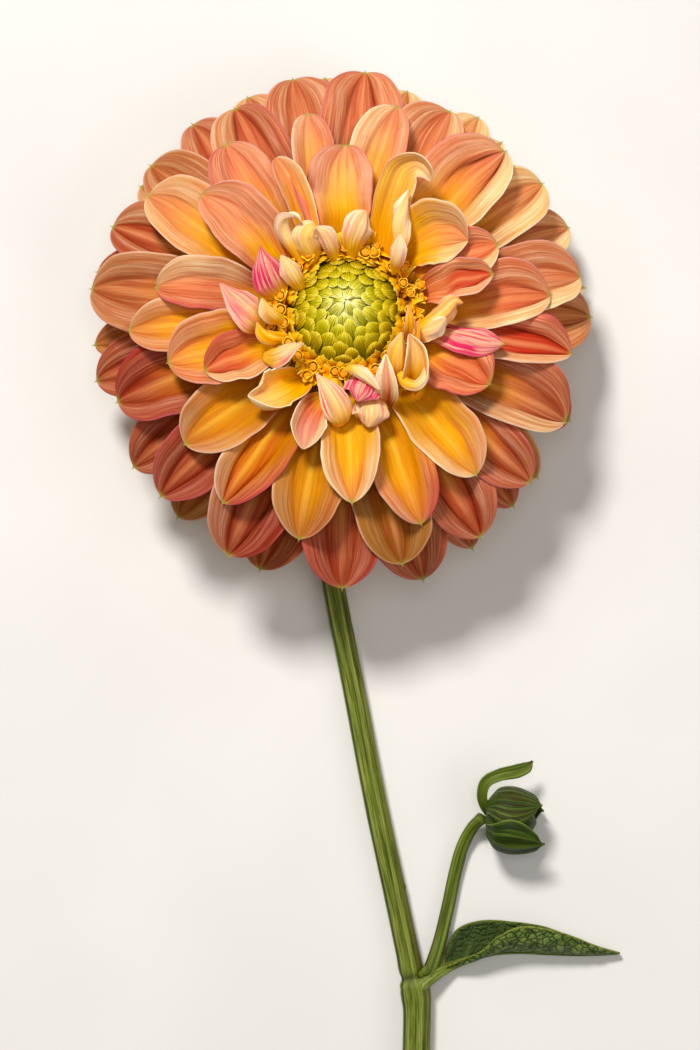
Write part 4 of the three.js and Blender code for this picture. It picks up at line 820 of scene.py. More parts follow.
def ray(sh, p, nt=52):
    """A ray floret placed by its tip, as in the CAD source, with the finer form of a real blade."""
    o = {**LEVEL[p["level"]], **p}
    seed = next_seed()
    T = plan_local(o["tip"][0], o["tip"][1], o["wT"])
    az = rad(o["az"]) if "az" in o else math.atan2(T[1], T[0])
    # painted shade by bearing deepens the dusk towards the lower left; painted light spreads the cream edges at the
    # upper right
    f = {"small": 0.0, "inner": 0.4, "middle": 0.8, "outer": 1.0, "back": 1.0}[p["level"]]
    o["dk"] = float(np.clip(o.get("dk", 0.2) + f * (0.45 * about(az, -155, 42) + 0.26 * about(az, -45, 26) + 0.16 * about(az, 0, 24) + 0.12 * about(az, 150, 26) - 0.20 * about(az, 60, 34) - 0.10 * about(az, -82, 20)), 0, 1))
    fo = {"small": 0.0, "inner": 0.0, "middle": 0.12, "outer": 1.0, "back": 1.0}[p["level"]]
    fg = {"small": 0.0, "inner": 0.75, "middle": 1.05, "outer": 1.0, "back": 0.7}[p["level"]]
    # painted shade by bearing, strongest at the lower left; painted light on inner and middle florets facing the top
    o["sh"] = float(np.clip(o.get("sh", 0.0) + fo * (0.45 - 0.50 * about(az, 42, 34) - 0.20 * about(az, 92, 22) - 0.16 * about(az, 0, 24)) + fg * (0.54 * about(az, -130, 32) + (0.26 + 0.35 * o.get("oc", 0.0)) * about(az, -80, 34)), 0, 1))
    o["br"] = float(np.clip(o.get("br", 0.0) + {"inner": 0.9, "middle": 0.45}.get(p["level"], 0.0) * about(az, 95, 52), 0, 1))
    if p["level"] in ("outer", "back"):
        o["gr"] = 0.82 * o.get("gr", 0.5)
    # painted shade at the tips of the outer florets, less at the upper right
    o["td"] = {"small": 0.0, "inner": 0.0, "middle": 0.12, "outer": 0.34, "back": 0.30}[p["level"]] * (1 - 0.7 * about(az, 52, 30))
    for k in ("cl", "cr"):
        # painted light: cream edges widen towards the upper right and narrow at the lower left
        o[k] = float(np.clip(o.get(k, 0.1) + f * (0.26 * about(az, 52, 40) + 0.12 * about(az, 15, 30) + 0.06 * about(az, -70, 30)) - f * 0.20 * o.get(k, 0.1) * about(az, -155, 36), 0, 1))
    o["pk"] = float(np.clip(o.get("pk", 0.3) + f * (0.20 * about(az, 5, 40) + 0.16 * about(az, -30, 26)), 0, 1))
    B = np.array([o["rB"] * math.cos(az), o["rB"] * math.sin(az), o["wB"]])
    e = unit([T[0] - B[0], T[1] - B[1], 0])
    L = float(np.linalg.norm(T - B))
    e0, e1 = rad(o["e0"]), rad(o["e1"])
    P1 = B + np.array([e[0] * math.cos(e0), e[1] * math.cos(e0), math.sin(e0)]) * L * 0.38
    P2 = T - np.array([e[0] * math.cos(e1), e[1] * math.cos(e1), math.sin(e1)]) * L * 0.38
    i = np.arange(nt + 1) / nt
    t = (1 - (1 - i) ** 1.6) * 1.022
    tb = np.minimum(t, 1.0)[:, None]
    m = 1 - tb
    P = B * m ** 3 + P1 * 3 * m * m * tb + P2 * 3 * m * tb * tb + T * tb ** 3
    D = unit((P1 - B) * 3 * m * m + (P2 - P1) * 6 * m * tb + (T - P2) * 3 * tb * tb)
    over = np.maximum(t - 1.0, 0)[:, None]
    P = P + D * over * L
    S0 = np.broadcast_to(np.array([-e[1], e[0], 0.0]), P.shape)
    P = P + S0 * ((o.get("bend", 0) + 0.5 * wob(t, seed + 11)) * 4 * t * (1 - np.minimum(t, 1)) * 0.9)[:, None]
    up = np.cross(D, S0)
    P = P + up * (0.35 * wob(t * 1.3, seed + 12) * 4 * t * (1 - np.minimum(t, 1)))[:, None]
    tt = np.minimum(t, 1.0)
    tm = {"small": 0.52, "inner": 0.55, "middle": 0.60, "outer": 0.65, "back": 0.62}[p["level"]]
    wide = {"small": 1.0, "inner": 1.08, "middle": 1.08, "outer": 1.07, "back": 1.05}[p["level"]]
    rise = 0.31 + 0.69 * np.sin(math.pi / 2 * np.minimum(1, tt / tm)) ** {"small": 1.2, "inner": 1.2, "middle": 1.0, "outer": 0.9, "back": 0.9}[p["level"]]
    xq = np.clip((tt - tm) / (1 - tm), 0, 1)
    out = np.maximum(0, 1 - xq ** o.get("blunt", 2.8)) ** o.get("pw", 0.76)
    muc = 0.30 * np.clip((1.024 - t) / 0.05, 0.12, 1)
    hl = np.sqrt((o["hl"] * wide * MM_PER_PX * rise * out) ** 2 + muc ** 2)
    hr = np.sqrt((o["hr"] * wide * MM_PER_PX * rise * out) ** 2 + muc ** 2)
    c0, c1, c2 = [rad(c) for c in o["cup"]]
    phi = np.where(tt < 0.5, lerp(c0, c1, smooth(tt / 0.5)), lerp(c1, c2, smooth((tt - 0.5) / 0.5)))
    tw = o.get("turn", [0, 0])
    turn = np.array([rad(lerp(tw[0], tw[1], float(smooth(x)))) for x in tt]) + rad(5) * wob(tt, seed + 13)
    R = np.hypot(P[:, 0], P[:, 1])
    g0, g1 = o.get("gold", {"small": (16.0, 28.0), "inner": (22.0, 38.0), "middle": (26.0, 46.0), "outer": (28.0, 43.0), "back": (28.0, 43.0)}[p["level"]])
    more = {"outer": 0.3, "back": 0.0}.get(p["level"], 1.0) * 4.5 * about(az, -92, 50) - 4.0 * about(az, 95, 50) - 4.0 * about(az, -5, 30)
    gold = (g0 + more, g1 + more, R)
    blade(sh, P, D, S0, tt, hl, hr, phi, turn, L, o, gold, seed)


def free_ray(sh, pts, hl, hr, cup, turn=0, nt=40, blunt=0.70, **o):
    """A small ray floret whose keel runs through plan points with heights in the bloom frame."""
    seed = next_seed()
    K = np.array([plan_local(x, y, w, False) for x, y, w in pts])
    C, par, L = crom(K, nt + 1)
    D = unit(np.gradient(C, axis=0))
    S = np.zeros_like(C)
    s = np.cross([0, 0, 1.0], D[0])
    if np.linalg.norm(s) < 0.2:
        s = np.cross([0, 0, 1.0], D[len(D) // 2])
    for i in range(len(C)):
        s = s - D[i] * np.dot(s, D[i])
        s = s / np.linalg.norm(s)
        S[i] = s
    u = np.linspace(0, 1, nt + 1)
    # denser rows at the tip
    w = 1 - (1 - u) ** 1.45
    C = np.stack([np.interp(w, u, C[:, k]) for k in range(3)], -1)
    D = unit(np.stack([np.interp(w, u, D[:, k]) for k in range(3)], -1))
    S = unit(np.stack([np.interp(w, u, S[:, k]) for k in range(3)], -1))
    par = np.interp(w, u, par)
    st = np.arange(len(pts))

    def track(v):
        v = np.broadcast_to(np.asarray(v, float), (len(pts),)) if np.ndim(v) == 0 else np.asarray(v, float)
        f = np.interp(par, st, v)
        for _ in range(5):
            f[1:-1] = (f[:-2] + 2 * f[1:-1] + f[2:]) / 4
        return f
    rnd = np.sqrt(np.maximum(0, 1 - (np.maximum(0, (w - blunt) / (1 - blunt))) ** 2.2))
    a = np.sqrt((track(hl) * MM_PER_PX * rnd) ** 2 + 0.15 ** 2)
    b = np.sqrt((track(hr) * MM_PER_PX * rnd) ** 2 + 0.15 ** 2)
    phi = np.array([rad(c) for c in track(cup)])
    tw = np.array([rad(c) for c in track(turn)])
    gold = (1 - sstep(o.get("g0", 0.08), o.get("g1", 0.55), w)) * o.get("gd", 0.95)
    o = {"fold": 0.35, "flare": 0.25, "und": 0.35, "mu": 0.0, **o}
    blade(sh, C, D, S, w, a, b, phi, tw, L, o, gold, seed)


MAT_OUTER = petal_material("ray_floret_outer", lobe="#DE784E", dusky_shade="#8C4224", gold="#E08C00", gold2="#FBB400", crest_highlight_w=0.55, throat_shade=0.62, deep_shade="#5A2004")
MAT_MIDDLE = petal_material("ray_floret_middle", lobe="#EC7A4E", dusky_shade="#A24A20", gold="#E89E00", gold2="#FFC600", crest_highlight_w=0.50, throat_shade=0.30, deep_shade="#7A3A00")
MAT_INNER = petal_material("ray_floret_inner", lobe="#F68648", dusky_shade="#C25A1A", gold="#F4A800", gold2="#FFD200", reverse="#FCCA34", crest_highlight_w=0.45, throat_shade=0.12, deep_shade="#8A4A00")
MAT_BACK = petal_material("ray_floret_back", lobe="#D88A54", dusky_shade="#824826", gold="#C07C04", gold2="#E0A01C", reverse="#F0BE62", crest_highlight_w=0.55, throat_shade=0.70, deep_shade="#4A2204")
MAT_OF = {"outer": (MAT_OUTER, "ray_outer"), "middle": (MAT_MIDDLE, "ray_middle"), "inner": (MAT_INNER, "ray_inner")}

# large florets that curl too much for the common form
FREE_LARGE = {
    "inner_ray_02": dict(pts=[(403, 266, -3.4), (416, 250, -0.4), (437, 240, 2.4), (455, 238, 3.6), (468, 240, 3.4)], hl=[10, 28, 42, 38, 14], hr=[8, 18, 25, 22, 12], cup=[60, 54, 52, 58, 66], turn=[-8, -10, -12, -8, 0], cl=.7, cr=.9, pk=.3, gr=.12, g0=.30, g1=.95, blunt=.72, und=.4, fold=.3),
}
for name, spec in FREE_LARGE.items():
    sh = Shape()
    free_ray(sh, nt=56, **spec)
    sh.build("petal_" + name, MAT_INNER, "ray_inner", name)

# the small curled florets round the disc, each by its own keel
FREE = {
    "small_rays_top": [
        dict(pts=[(312, 268, -1), (309, 250, 4.0), (305, 236, 6.4), (312, 227, 6.8), (320, 231, 6.0)], hl=[6, 15, 17, 12, 4], hr=[6, 13, 13, 10, 4], cup=[50, 55, 60, 66, 70], turn=[180, 178, 172, 165, 160], cl=.9, cr=.8, pk=.0, g0=.05, g1=.75),
        dict(pts=[(302, 264, 0), (291, 246, 3.6), (284, 230, 5.8), (286, 219, 7.4), (296, 217, 8.2), (301, 221, 8.0)], hl=[4, 8, 9, 8, 6, 2], hr=[4, 7, 8, 7, 5, 2], cup=[60, 70, 80, 80, 70, 60], turn=[150, 160, 175, 200, 215, 220], cl=.9, cr=.9, pk=.35, gl=.4, g1=.5),
        dict(pts=[(336, 264, 0), (331, 247, 4.8), (325, 235, 6.8), (316, 227, 7.6)], hl=[4, 9, 10, 5], hr=[4, 8, 8, 4], cup=[50, 60, 66, 60], turn=175, cl=.8, cr=.8, pk=.8, gl=.5),
        dict(pts=[(352, 258, 0), (353, 242, 4.4), (359, 226, 6.8), (366, 211, 6.6)], hl=[6, 14, 18, 9], hr=[6, 12, 15, 12], cup=[45, 44, 46, 50], turn=[180, 180, 184, 190], cl=.95, cr=.8, pk=.55, gl=.45, g0=.30, g1=.62, gd=1.0, blunt=.78, flare=.0),
        dict(pts=[(392, 274, 1), (395, 262, 5.6), (398, 249, 7.8), (400, 234, 8.4)], hl=[3, 8, 9, 4], hr=[3, 7, 8, 4], cup=[50, 55, 50, 50], turn=[170, 175, 180, 180], cl=1, cr=1, pk=.5, gl=.7, g1=.35),
        dict(pts=[(384, 262, -2), (388, 226, 1.6), (396, 192, 4.0), (405, 171, 5.8), (417, 165, 6.8), (426, 171, 6.6), (431, 181, 5.4)], hl=[8, 18, 21, 20, 17, 13, 6], hr=[8, 17, 18, 16, 14, 11, 5], cup=[50, 40, 40, 46, 56, 62, 66], turn=0, cl=.15, cr=.85, cm=(.45, .8), ct=.95, pk=.1, gr=.10, g0=.58, g1=1.02, gd=1.0, gl=.15),
        dict(pts=[(392, 262, 0), (396, 240, 4.6), (398, 222, 6.6), (404, 206, 7.4), (409, 190, 7.2)], hl=[4, 9, 10, 8, 3], hr=[4, 9, 9, 8, 3], cup=[80, 90, 95, 90, 80], turn=[120, 140, 165, 200, 225], cl=.95, cr=.95, pk=.1, gl=.35, g1=.6),
        dict(pts=[(318, 262, -2.5), (304, 218, 0.4), (292, 184, 2.2), (276, 158, 2.0)], hl=[4, 12, 14, 11], hr=[4, 14, 15, 11], cup=[66, 62, 70, 76], turn=0, cl=.35, cr=.8, pk=.35, gr=.35, blunt=.78, g0=.3, g1=.95),
        dict(pts=[(322, 262, -2.0), (309, 220, 1.0), (299, 192, 1.8), (290, 172, 1.6)], hl=[3, 8, 9, 6], hr=[3, 9, 11, 7], cup=[60, 60, 60, 60], turn=[10, 25, 30, 30], cl=.2, cr=.1, pk=1.0, mg=.25, g0=.2, g1=.7),
    ],
    "small_rays_right": [
        dict(pts=[(414, 330, 1), (427, 322, 4.6), (442, 311, 6.4), (455, 300, 6.8), (463, 303, 5.8)], hl=[5, 11, 12, 10, 5], hr=[5, 9, 9, 8, 4], cup=[62, 66, 70, 70, 66], turn=[170, 175, 190, 205, 210], cl=.35, cr=.5, pk=.75, und=.7, gl=.1, g1=.9, flare=.0),
        dict(pts=[(412, 338, 0), (424, 331, 4.2), (436, 326, 6.2), (446, 318, 7.2)], hl=[5, 10, 10, 5], hr=[5, 10, 11, 6], cup=[55, 66, 72, 66], turn=[150, 170, 196, 206], cl=.95, cr=.95, pk=.35, und=1.0, gl=.4, g1=.5),
        dict(pts=[(408, 344, 1), (412, 330, 5.2), (411, 318, 7.0), (408, 305, 6.8)], hl=[4, 7, 6, 2], hr=[4, 6, 5, 2], cup=[66, 66, 66, 60], turn=0, cl=.3, cr=.3, pk=0, gd=1.0, g0=.8, g1=1.6, blunt=.4),
        dict(pts=[(411, 352, 1), (417, 340, 4.8), (418, 330, 6.2), (417, 321, 6.6)], hl=[4, 6, 5, 2], hr=[4, 5, 4, 2], cup=[60, 66, 66, 60], turn=0, cl=.3, cr=.3, pk=0, gd=1.0, g0=.8, g1=1.6, blunt=.4),
    ],
    "small_rays_bottom": [
        dict(pts=[(341, 426, .5), (344, 420, 4.4), (337, 405, 6.8), (328, 389, 7.6), (316, 373, 6.8)], hl=[8, 14, 16, 12, 3], hr=[8, 13, 15, 11, 3], cup=[50, 44, 40, 44, 50], turn=180, cl=.9, cr=.7, pk=.9, gl=.45, gd=0, blunt=.55, flare=.0, und=.25),
        dict(pts=[(334, 372, -1), (333, 384, 3.4), (334, 396, 5.2)], hl=[6, 12, 12], hr=[6, 12, 12], cup=[40, 44, 44], turn=176, cl=.3, cr=.3, pk=.0, gd=1, g0=.9, g1=1.6),
        dict(pts=[(368, 368, 0), (365, 380, 5.6), (361, 391, 7.6), (357, 401, 7.0)], hl=[9, 19, 21, 12], hr=[9, 18, 19, 12], cup=[36, 40, 44, 48], turn=180, mg=1.0, pk=.9, cl=.4, cr=.4, gl=.1, g1=.25, flare=.0),
        dict(pts=[(342, 370, 4.6), (350, 367, 7.6), (363, 374, 9.0), (379, 390, 8.4)], hl=[2, 5, 7, 3], hr=[2, 5, 6, 3], cup=[50, 66, 72, 60], turn=[140, 160, 175, 185], cl=.95, cr=.9, pk=.25, gl=.5, gd=.2),
        dict(pts=[(386, 404, 0), (387, 390, 6.2), (386, 373, 8.4), (386, 354, 8.8)], hl=[6, 12, 11, 4], hr=[6, 12, 11, 4], cup=[45, 44, 48, 44], turn=0, cl=1, cr=1, cc=.1, pk=.8, gr=.1, blunt=.4, gd=.4, g0=-.4, g1=.4, gl=.3),
        dict(pts=[(371, 390, -1), (371, 402, 4.6), (371, 414, 5.8), (368, 427, 4.2)], hl=[9, 18, 19, 13], hr=[9, 17, 18, 13], cup=[40, 44, 48, 52], turn=180, pk=.75, cl=.8, cr=.7, g1=.3, gl=.3, flare=.0, blunt=.74),
        dict(pts=[(398, 386, 0), (397, 366, 6.0), (398, 349, 8.2), (402, 332, 9.0)], hl=[5, 10, 10, 3], hr=[5, 10, 9, 3], cup=[72, 84, 80, 66], turn=[168, 174, 182, 186], cl=.8, cr=.8, pk=.0, gd=1.0, g0=.5, g1=1.3, gl=.1),
        dict(pts=[(411, 390, 1), (417, 370, 5.2), (417, 352, 7.4), (409, 334, 8.4)], hl=[6, 13, 12, 4], hr=[6, 12, 10, 4], cup=[76, 96, 92, 70], turn=[0, 8, 16, 20], cl=1, cr=1, cc=.0, cm=(.5, .8), pk=.35, gd=1, g0=.5, g1=1.4, gl=.3),
        dict(pts=[(400, 372, 5.6), (406, 381, 6.4), (416, 384, 6.6), (424, 376, 6.8), (426, 364, 6.6)], hl=[4, 6, 6, 5, 2], hr=[4, 5, 5, 4, 2], cup=[60, 60, 60, 60, 60], turn=[175, 180, 185, 190, 190], cl=.9, cr=.9, pk=.3, gd=.5, gl=.5),
        dict(pts=[(324, 398, -2), (313, 412, 1.4), (306, 430, 2.6), (303, 449, 4.4)], hl=[6, 15, 18, 13], hr=[6, 15, 18, 13], cup=[70, 78, 80, 74], turn=0, cl=1, cr=1, cc=.0, cm=(.50, .72), ct=.5, rd=.9, pk=.5, gr=.3, fold=.2, flare=.1, gl=.3, g1=.4, blunt=.78),
    ],
    "small_rays_left": [
        dict(pts=[(282, 296, 0), (274, 282, 5.0), (267, 266, 7.0), (260, 246, 7.2)], hl=[11, 22, 17, 3], hr=[10, 20, 16, 3], cup=[30, 34, 34, 30], turn=[180, 180, 178, 174], mg=1.0, pk=.9, cl=.3, cr=.2, gl=.0, blunt=.5, g1=.2, flare=.0),
        dict(pts=[(304, 292, 0), (297, 280, 4.6), (290, 268, 6.6), (281, 255, 7.2)], hl=[5, 9, 9, 4], hr=[5, 10, 11, 4], cup=[50, 60, 64, 60], turn=[170, 172, 176, 176], cl=.95, cr=.8, pk=.1, gl=.3, g1=.8),
        dict(pts=[(266, 322, 1), (255, 314, 5.4), (240, 300, 7.0), (220, 283, 6.2)], hl=[12, 21, 18, 5], hr=[12, 21, 17, 5], cup=[30, 34, 36, 36], turn=[180, 182, 184, 186], mg=.45, pk=1.0, cl=.9, cr=.6, gl=.30, blunt=.5, g1=.15, flare=.0),
        dict(pts=[(286, 322, 1), (276, 316, 5.0), (268, 308, 6.6), (262, 298, 7.0)], hl=[4, 9, 9, 4], hr=[4, 9, 9, 4], cup=[60, 76, 76, 66], turn=[160, 172, 186, 190], cl=.8, cr=.8, pk=.15, gd=1, g0=.3, g1=1.2, gl=.2),
        dict(pts=[(288, 338, 1), (274, 337, 4.6), (264, 332, 5.8), (257, 322, 6.0)], hl=[4, 8, 8, 3], hr=[4, 8, 8, 3], cup=[60, 72, 72, 60], turn=[150, 170, 186, 192], cl=.3, cr=.3, pk=0, gd=1, g0=.7, g1=1.6),
        dict(pts=[(264, 354, 2), (275, 353, 5.8), (289, 347, 7.8), (304, 343, 8.2)], hl=[7, 14, 11, 2], hr=[7, 12, 9, 2], cup=[45, 56, 60, 50], turn=[170, 176, 184, 188], cl=.8, cr=.9, pk=.7, gl=.4, blunt=.35, gd=.2),
        dict(pts=[(306, 378, -2), (291, 389, .8), (274, 398, 1.8), (258, 402, 4.0), (248, 396, 6.2)], hl=[7, 17, 21, 19, 10], hr=[7, 18, 22, 20, 12], cup=[76, 88, 92, 88, 80], turn=0, cl=1, cr=1, cc=.0, cm=(.62, .82), ct=.95, pk=.1, gr=.3, g0=.5, g1=1.2, fold=.2, flare=.1, gl=.3),
    ],
}
PARAM_SMALL = {
    "small_rays_right": [0, 1, 2],
    "small_rays_left": [0],
}
for name, rays_ in FREE.items():
    sh = Shape()
    for i in PARAM_SMALL.get(name, []):
        q = SMALL_FANS[name]["rays"][i]
        ray(sh, {"level": "small", "rB": 14.9, "wB": -3.6, "dk": 0.0, "clear": 0.3, "limit": 2.5, **q}, nt=44)
    for q in rays_:
        free_ray(sh, **q)
    sh.build("petals_" + name, MAT_INNER, "ray_inner", name)

ORDER = sorted(RAYS, key=lambda k: ({"inner": 0, "middle": 1, "outer": 2}[RAYS[k]["level"]], -RAYS[k].get("wT", LEVEL[RAYS[k]["level"]]["wT"]), k))
for name in ORDER:
    sh = Shape()
    p = dict(RAYS[name])
    # outer florets darker by default, as painted shade
    p.setdefault("dk", {"outer": 0.40, "middle": 0.15, "inner": 0.0}[p["level"]])
    p["clear"], p["limit"] = 0.30, 3.0
    if name in FREE_LARGE:
        continue
    ray(sh, p)
    mat, sl = MAT_OF[p["level"]]
    sh.build("petal_" + name, mat, sl, name)

for name, spec in BACK_FANS.items():
    sh = Shape()
    for q in sorted(spec["rays"], key=lambda q: -q["wT"]):
        ray(sh, {"level": "back", "rB": 10.1, "wB": -12.4, "dk": 0.3, "mu": 0.9, "clear": 0.30, "limit": 3.5, **q}, nt=40)
    sh.build("petals_" + name, MAT_BACK, "ray_back", name)


# ------------------------------------------------------------------ disc: closed florets under their scales
R_DISC = 10.8
DOME_R = np.array([0.0, 2.6, 5.2, 7.6, 9.6, 10.8, 11.6])
DOME_W = np.array([4.45, 4.15, 3.35, 2.2, 0.9, 0.0, -0.8])
MAT_DISC = disc_material()
MAT_FLORET = floret_material()


def dome(r):
    return np.interp(r, DOME_R, DOME_W)


def disc_shift(r):
    return 1.1 * np.clip(1 - r / R_DISC, 0, 1) ** 1.3


def closed_disc():
    sh = Shape()
    # bed that carries the scales
    rows, k = [], 48
    prof = [(0.25, 4.55), (2.6, 4.05), (5.2, 2.95), (7.6, 1.6), (9.6, -0.1), (10.7, -1.1), (10.3, -1.25), (0.25, -1.25)]
    q = np.arange(k) * 2 * math.pi / k
    for r, w in prof:
        rows.append(np.stack([r * np.cos(q), r * np.sin(q) + disc_shift(r), np.full(k, w)], -1))
    R = np.array(rows)
    V, qd, tr = rings(to_world(R))
    f = np.zeros(R.shape[:2])
    sh.add(V, qd, tr, {"pa": ring_att(f, f + 0.55, np.hypot(R[..., 0], R[..., 1]) / R_DISC), "pm": ring_att(f, f, f), "k1": ring_att(f, f, f)})
    N = 66
    nb, na = 22, 20
    for i in range(N):
        n = N - i
        th = n * 2.399963 + 0.4
        rr = 1.05 * ((n - 0.4) / N) ** 0.47
        r = R_DISC * rr
        rs = np.random.RandomState(900 + n)
        W = lerp(2.1, 3.5, smooth(min(rr, 1) ** 0.8)) * (0.88 + 0.24 * rs.rand())
        L = lerp(6.2, 4.5, rr) * (0.88 + 0.24 * rs.rand())
        b = np.linspace(0, 1, nb + 1)
        b = 1 - (1 - b) ** 1.5
        a = np.linspace(-1, 1, na + 1)
        thj = th + 0.16 * (rs.rand() - 0.5)
        e = np.array([math.cos(thj), math.sin(thj), 0.0])
        T = np.array([-math.sin(thj), math.cos(thj), 0.0])
        rb = min(r + L * 0.42, R_DISC + 0.95)
        rad_b = lerp(rb, max(r - L * lerp(0.30, 0.46, rr) * (0.85 + 0.3 * rs.rand()), 0.12), b)
        lift = -1.15 + 2.15 * smooth(np.minimum(b / 0.90, 1)) - lerp(0.15, 0.50, rr) * sstep(0.72, 1.0, b)
        lift = lift * lerp(0.9, 1.0, rr) + lerp(0.30, 0.0, smooth(rr * 3))
        w0 = dome(np.abs(rad_b)) + lift
        # at the edge of the disc the scales stand up and lean over it
        w0 = w0 + sstep(0.8, 1.05, rr) * (0.5 * b)
        half = W / 2 * (0.74 + 0.26 * np.sin(math.pi / 2 * np.minimum(1, b / 0.45))) * np.sqrt(np.maximum(0.0, 1 - np.maximum(0, (b - lerp(0.30, 0.60, rr)) / (1 - lerp(0.30, 0.60, rr))) ** 2.0))
        half = np.maximum(half, 0.04)
        B, A = np.meshgrid(b, a, indexing="ij")
        H = half[:, None]
        arch = -0.42 * H * A ** 2 * (1.2 - 0.3 * B) - 0.08 * A ** 2
        nr = 8 if rr > 0.5 else 6
        ph = rs.rand() * 0.6
        ribs = (0.15 * np.cos(math.pi * nr * (A + 0.1 * ph)) * sstep(0.05, 0.35, B) * (1 - sstep(0.86, 1.0, B)) + 0.06 * np.exp(-(A / 0.2) ** 2)) * np.minimum(1, H / 1.1)
        skew = (rs.rand() - 0.5) * 0.30
        base = e[None, None] * rad_b[:, None, None] + T[None, None] * (A * H * (1 - 0.10 * A * skew) + skew * B * W * 0.6)[..., None]
        P = base.copy()
        P[..., 2] = w0[:, None] + arch + ribs + 0.30 * (rs.rand() - 0.5) * A + 0.30 * (rs.rand() - 0.5) * B
        P[..., 1] += disc_shift(np.hypot(base[..., 0], base[..., 1]))
        nrm = grid_normals(P)
        flip = nrm[..., 2].mean() < 0
        if flip:
            P = P[:, ::-1]
            A = A[:, ::-1]
        V, qd = sheet(to_world(P), 0.11)
        rib = 0.5 - 0.5 * np.cos(math.pi * nr * (A + 0.1 * ph))
        # rims and tips, lit as painted highlight in the disc colours
        edge = np.exp(-(((1 - np.abs(A)) * H) / 0.16) ** 2) + np.exp(-((1 - B) * L / 0.22) ** 2)
        pa = both(A, B, np.full_like(A, rr))
        sh.add(V, qd, None, {"pa": pa, "pm": both(A * W / 2, B * L, np.full_like(A, rs.rand() * 9)),
                             "k1": both(rib * sstep(0.1, 0.4, B) * (1 - sstep(0.9, 1, B)), np.clip(edge, 0, 1), np.full_like(A, rs.rand()))})
    sh.build("disc_closed_scales", MAT_DISC, "disc_scale", "disc_florets_closed")


def corolla(sh, pos, axis, h, mouth, lobes, seed, green=0.0):
    """Tubular floret: five-lobed corolla with its column, standing at pos along axis (bloom frame)."""
    rs = np.random.RandomState(int(seed * 131) % 100000)
    z = unit(axis)
    x = unit(np.cross(z, [0.3, 0.9, 0.1]))
    y = np.cross(z, x)
    k = 30
    q = np.arange(k) * 2 * math.pi / k + rs.rand() * 6
    lob = (0.5 + 0.5 * np.cos(5 * (q - q[0]))) ** 0.7
    bend_ = 0.1 + 0.9 * rs.rand()
    rows, B, G = [], [], []
    for f in np.linspace(0, 1, 7):                      # outer wall
        r = lerp(0.30, mouth, f ** 1.4)
        rows.append((np.full(k, r), np.full(k, f * h)))
        B.append(0.15 + 0.5 * f)
    Ls = lobes * (0.25 + 0.75 * lob) * (0.85 + 0.3 * rs.rand(1))
    for f in (0.2, 0.45, 0.7, 0.9, 1.0):                # lobes standing round the mouth
        ang = f * bend_
        rows.append((mouth + Ls * f * np.sin(ang) * 0.9 + 0.02, h + Ls * f * np.cos(ang) * 0.9))
        B.append(0.65 + 0.35 * f)
    for f in (0.9, 0.6, 0.3, 0.0):
        ang = f * bend_
        rows.append((mouth - 0.10 + Ls * f * np.sin(ang) * 0.86, h + 0.07 * f + Ls * f * np.cos(ang) * 0.9 - 0.02))
        B.append(0.6 + 0.3 * f)
    for f in (0.8, 0.55, 0.4):
        rows.append((np.full(k, max(0.12, lerp(0.22, mouth - 0.12, f))), np.full(k, f * h)))
        B.append(0.08)
    R = np.array([np.asarray(pos) + x * (r * np.cos(q))[:, None] + y * (r * np.sin(q))[:, None] + z * w[:, None] for r, w in rows])
    V, qd, tr = rings(to_world(R))
    n = len(rows)
    Bf = np.repeat(np.array(B)[:, None], k, 1)
    Z = np.zeros((n, k))
    # inner rows of the tube darkened as painted shade
    dk = Z.copy()
    dk[-3:] = 0.9
    ang = np.repeat((q * mouth)[None], n, 0)
    sh.add(V, qd, tr, {"pa": ring_att(Z, Bf, Z), "pm": ring_att(ang, Bf * h, Z + seed), "k1": ring_att(dk, Z, Z + green)})
    # column of anthers
    k2 = 12
    q2 = np.arange(k2) * 2 * math.pi / k2
    hh = h + 0.15 + 0.75 * rs.rand()
    rr = mouth * (0.66 + 0.12 * rs.rand())
    prof = [(rr * 0.8, h * 0.5), (rr, h + 0.05), (rr * 1.06, hh - 0.40), (rr * 1.05, hh - 0.16), (rr * 0.84, hh - 0.02), (rr * 0.45, hh + 0.04), (0.04, hh - 0.02)]
    bump = 1 + 0.08 * np.cos(5 * q2)
    R = np.array([np.asarray(pos) + x * (r * bump * np.cos(q2))[:, None] + y * (r * bump * np.sin(q2))[:, None] + z * w for r, w in prof])
    V, qd, tr = rings(to_world(R))
    f = np.zeros((len(prof), k2))
    fb = np.repeat(np.linspace(0.3, 1, len(prof))[:, None], k2, 1)
    sh.add(V, qd, tr, {"pa": ring_att(f, fb, f), "pm": ring_att(np.repeat((q2 * rr)[None], len(prof), 0), fb, f + seed), "k1": ring_att(f, f + 1.0, f)})


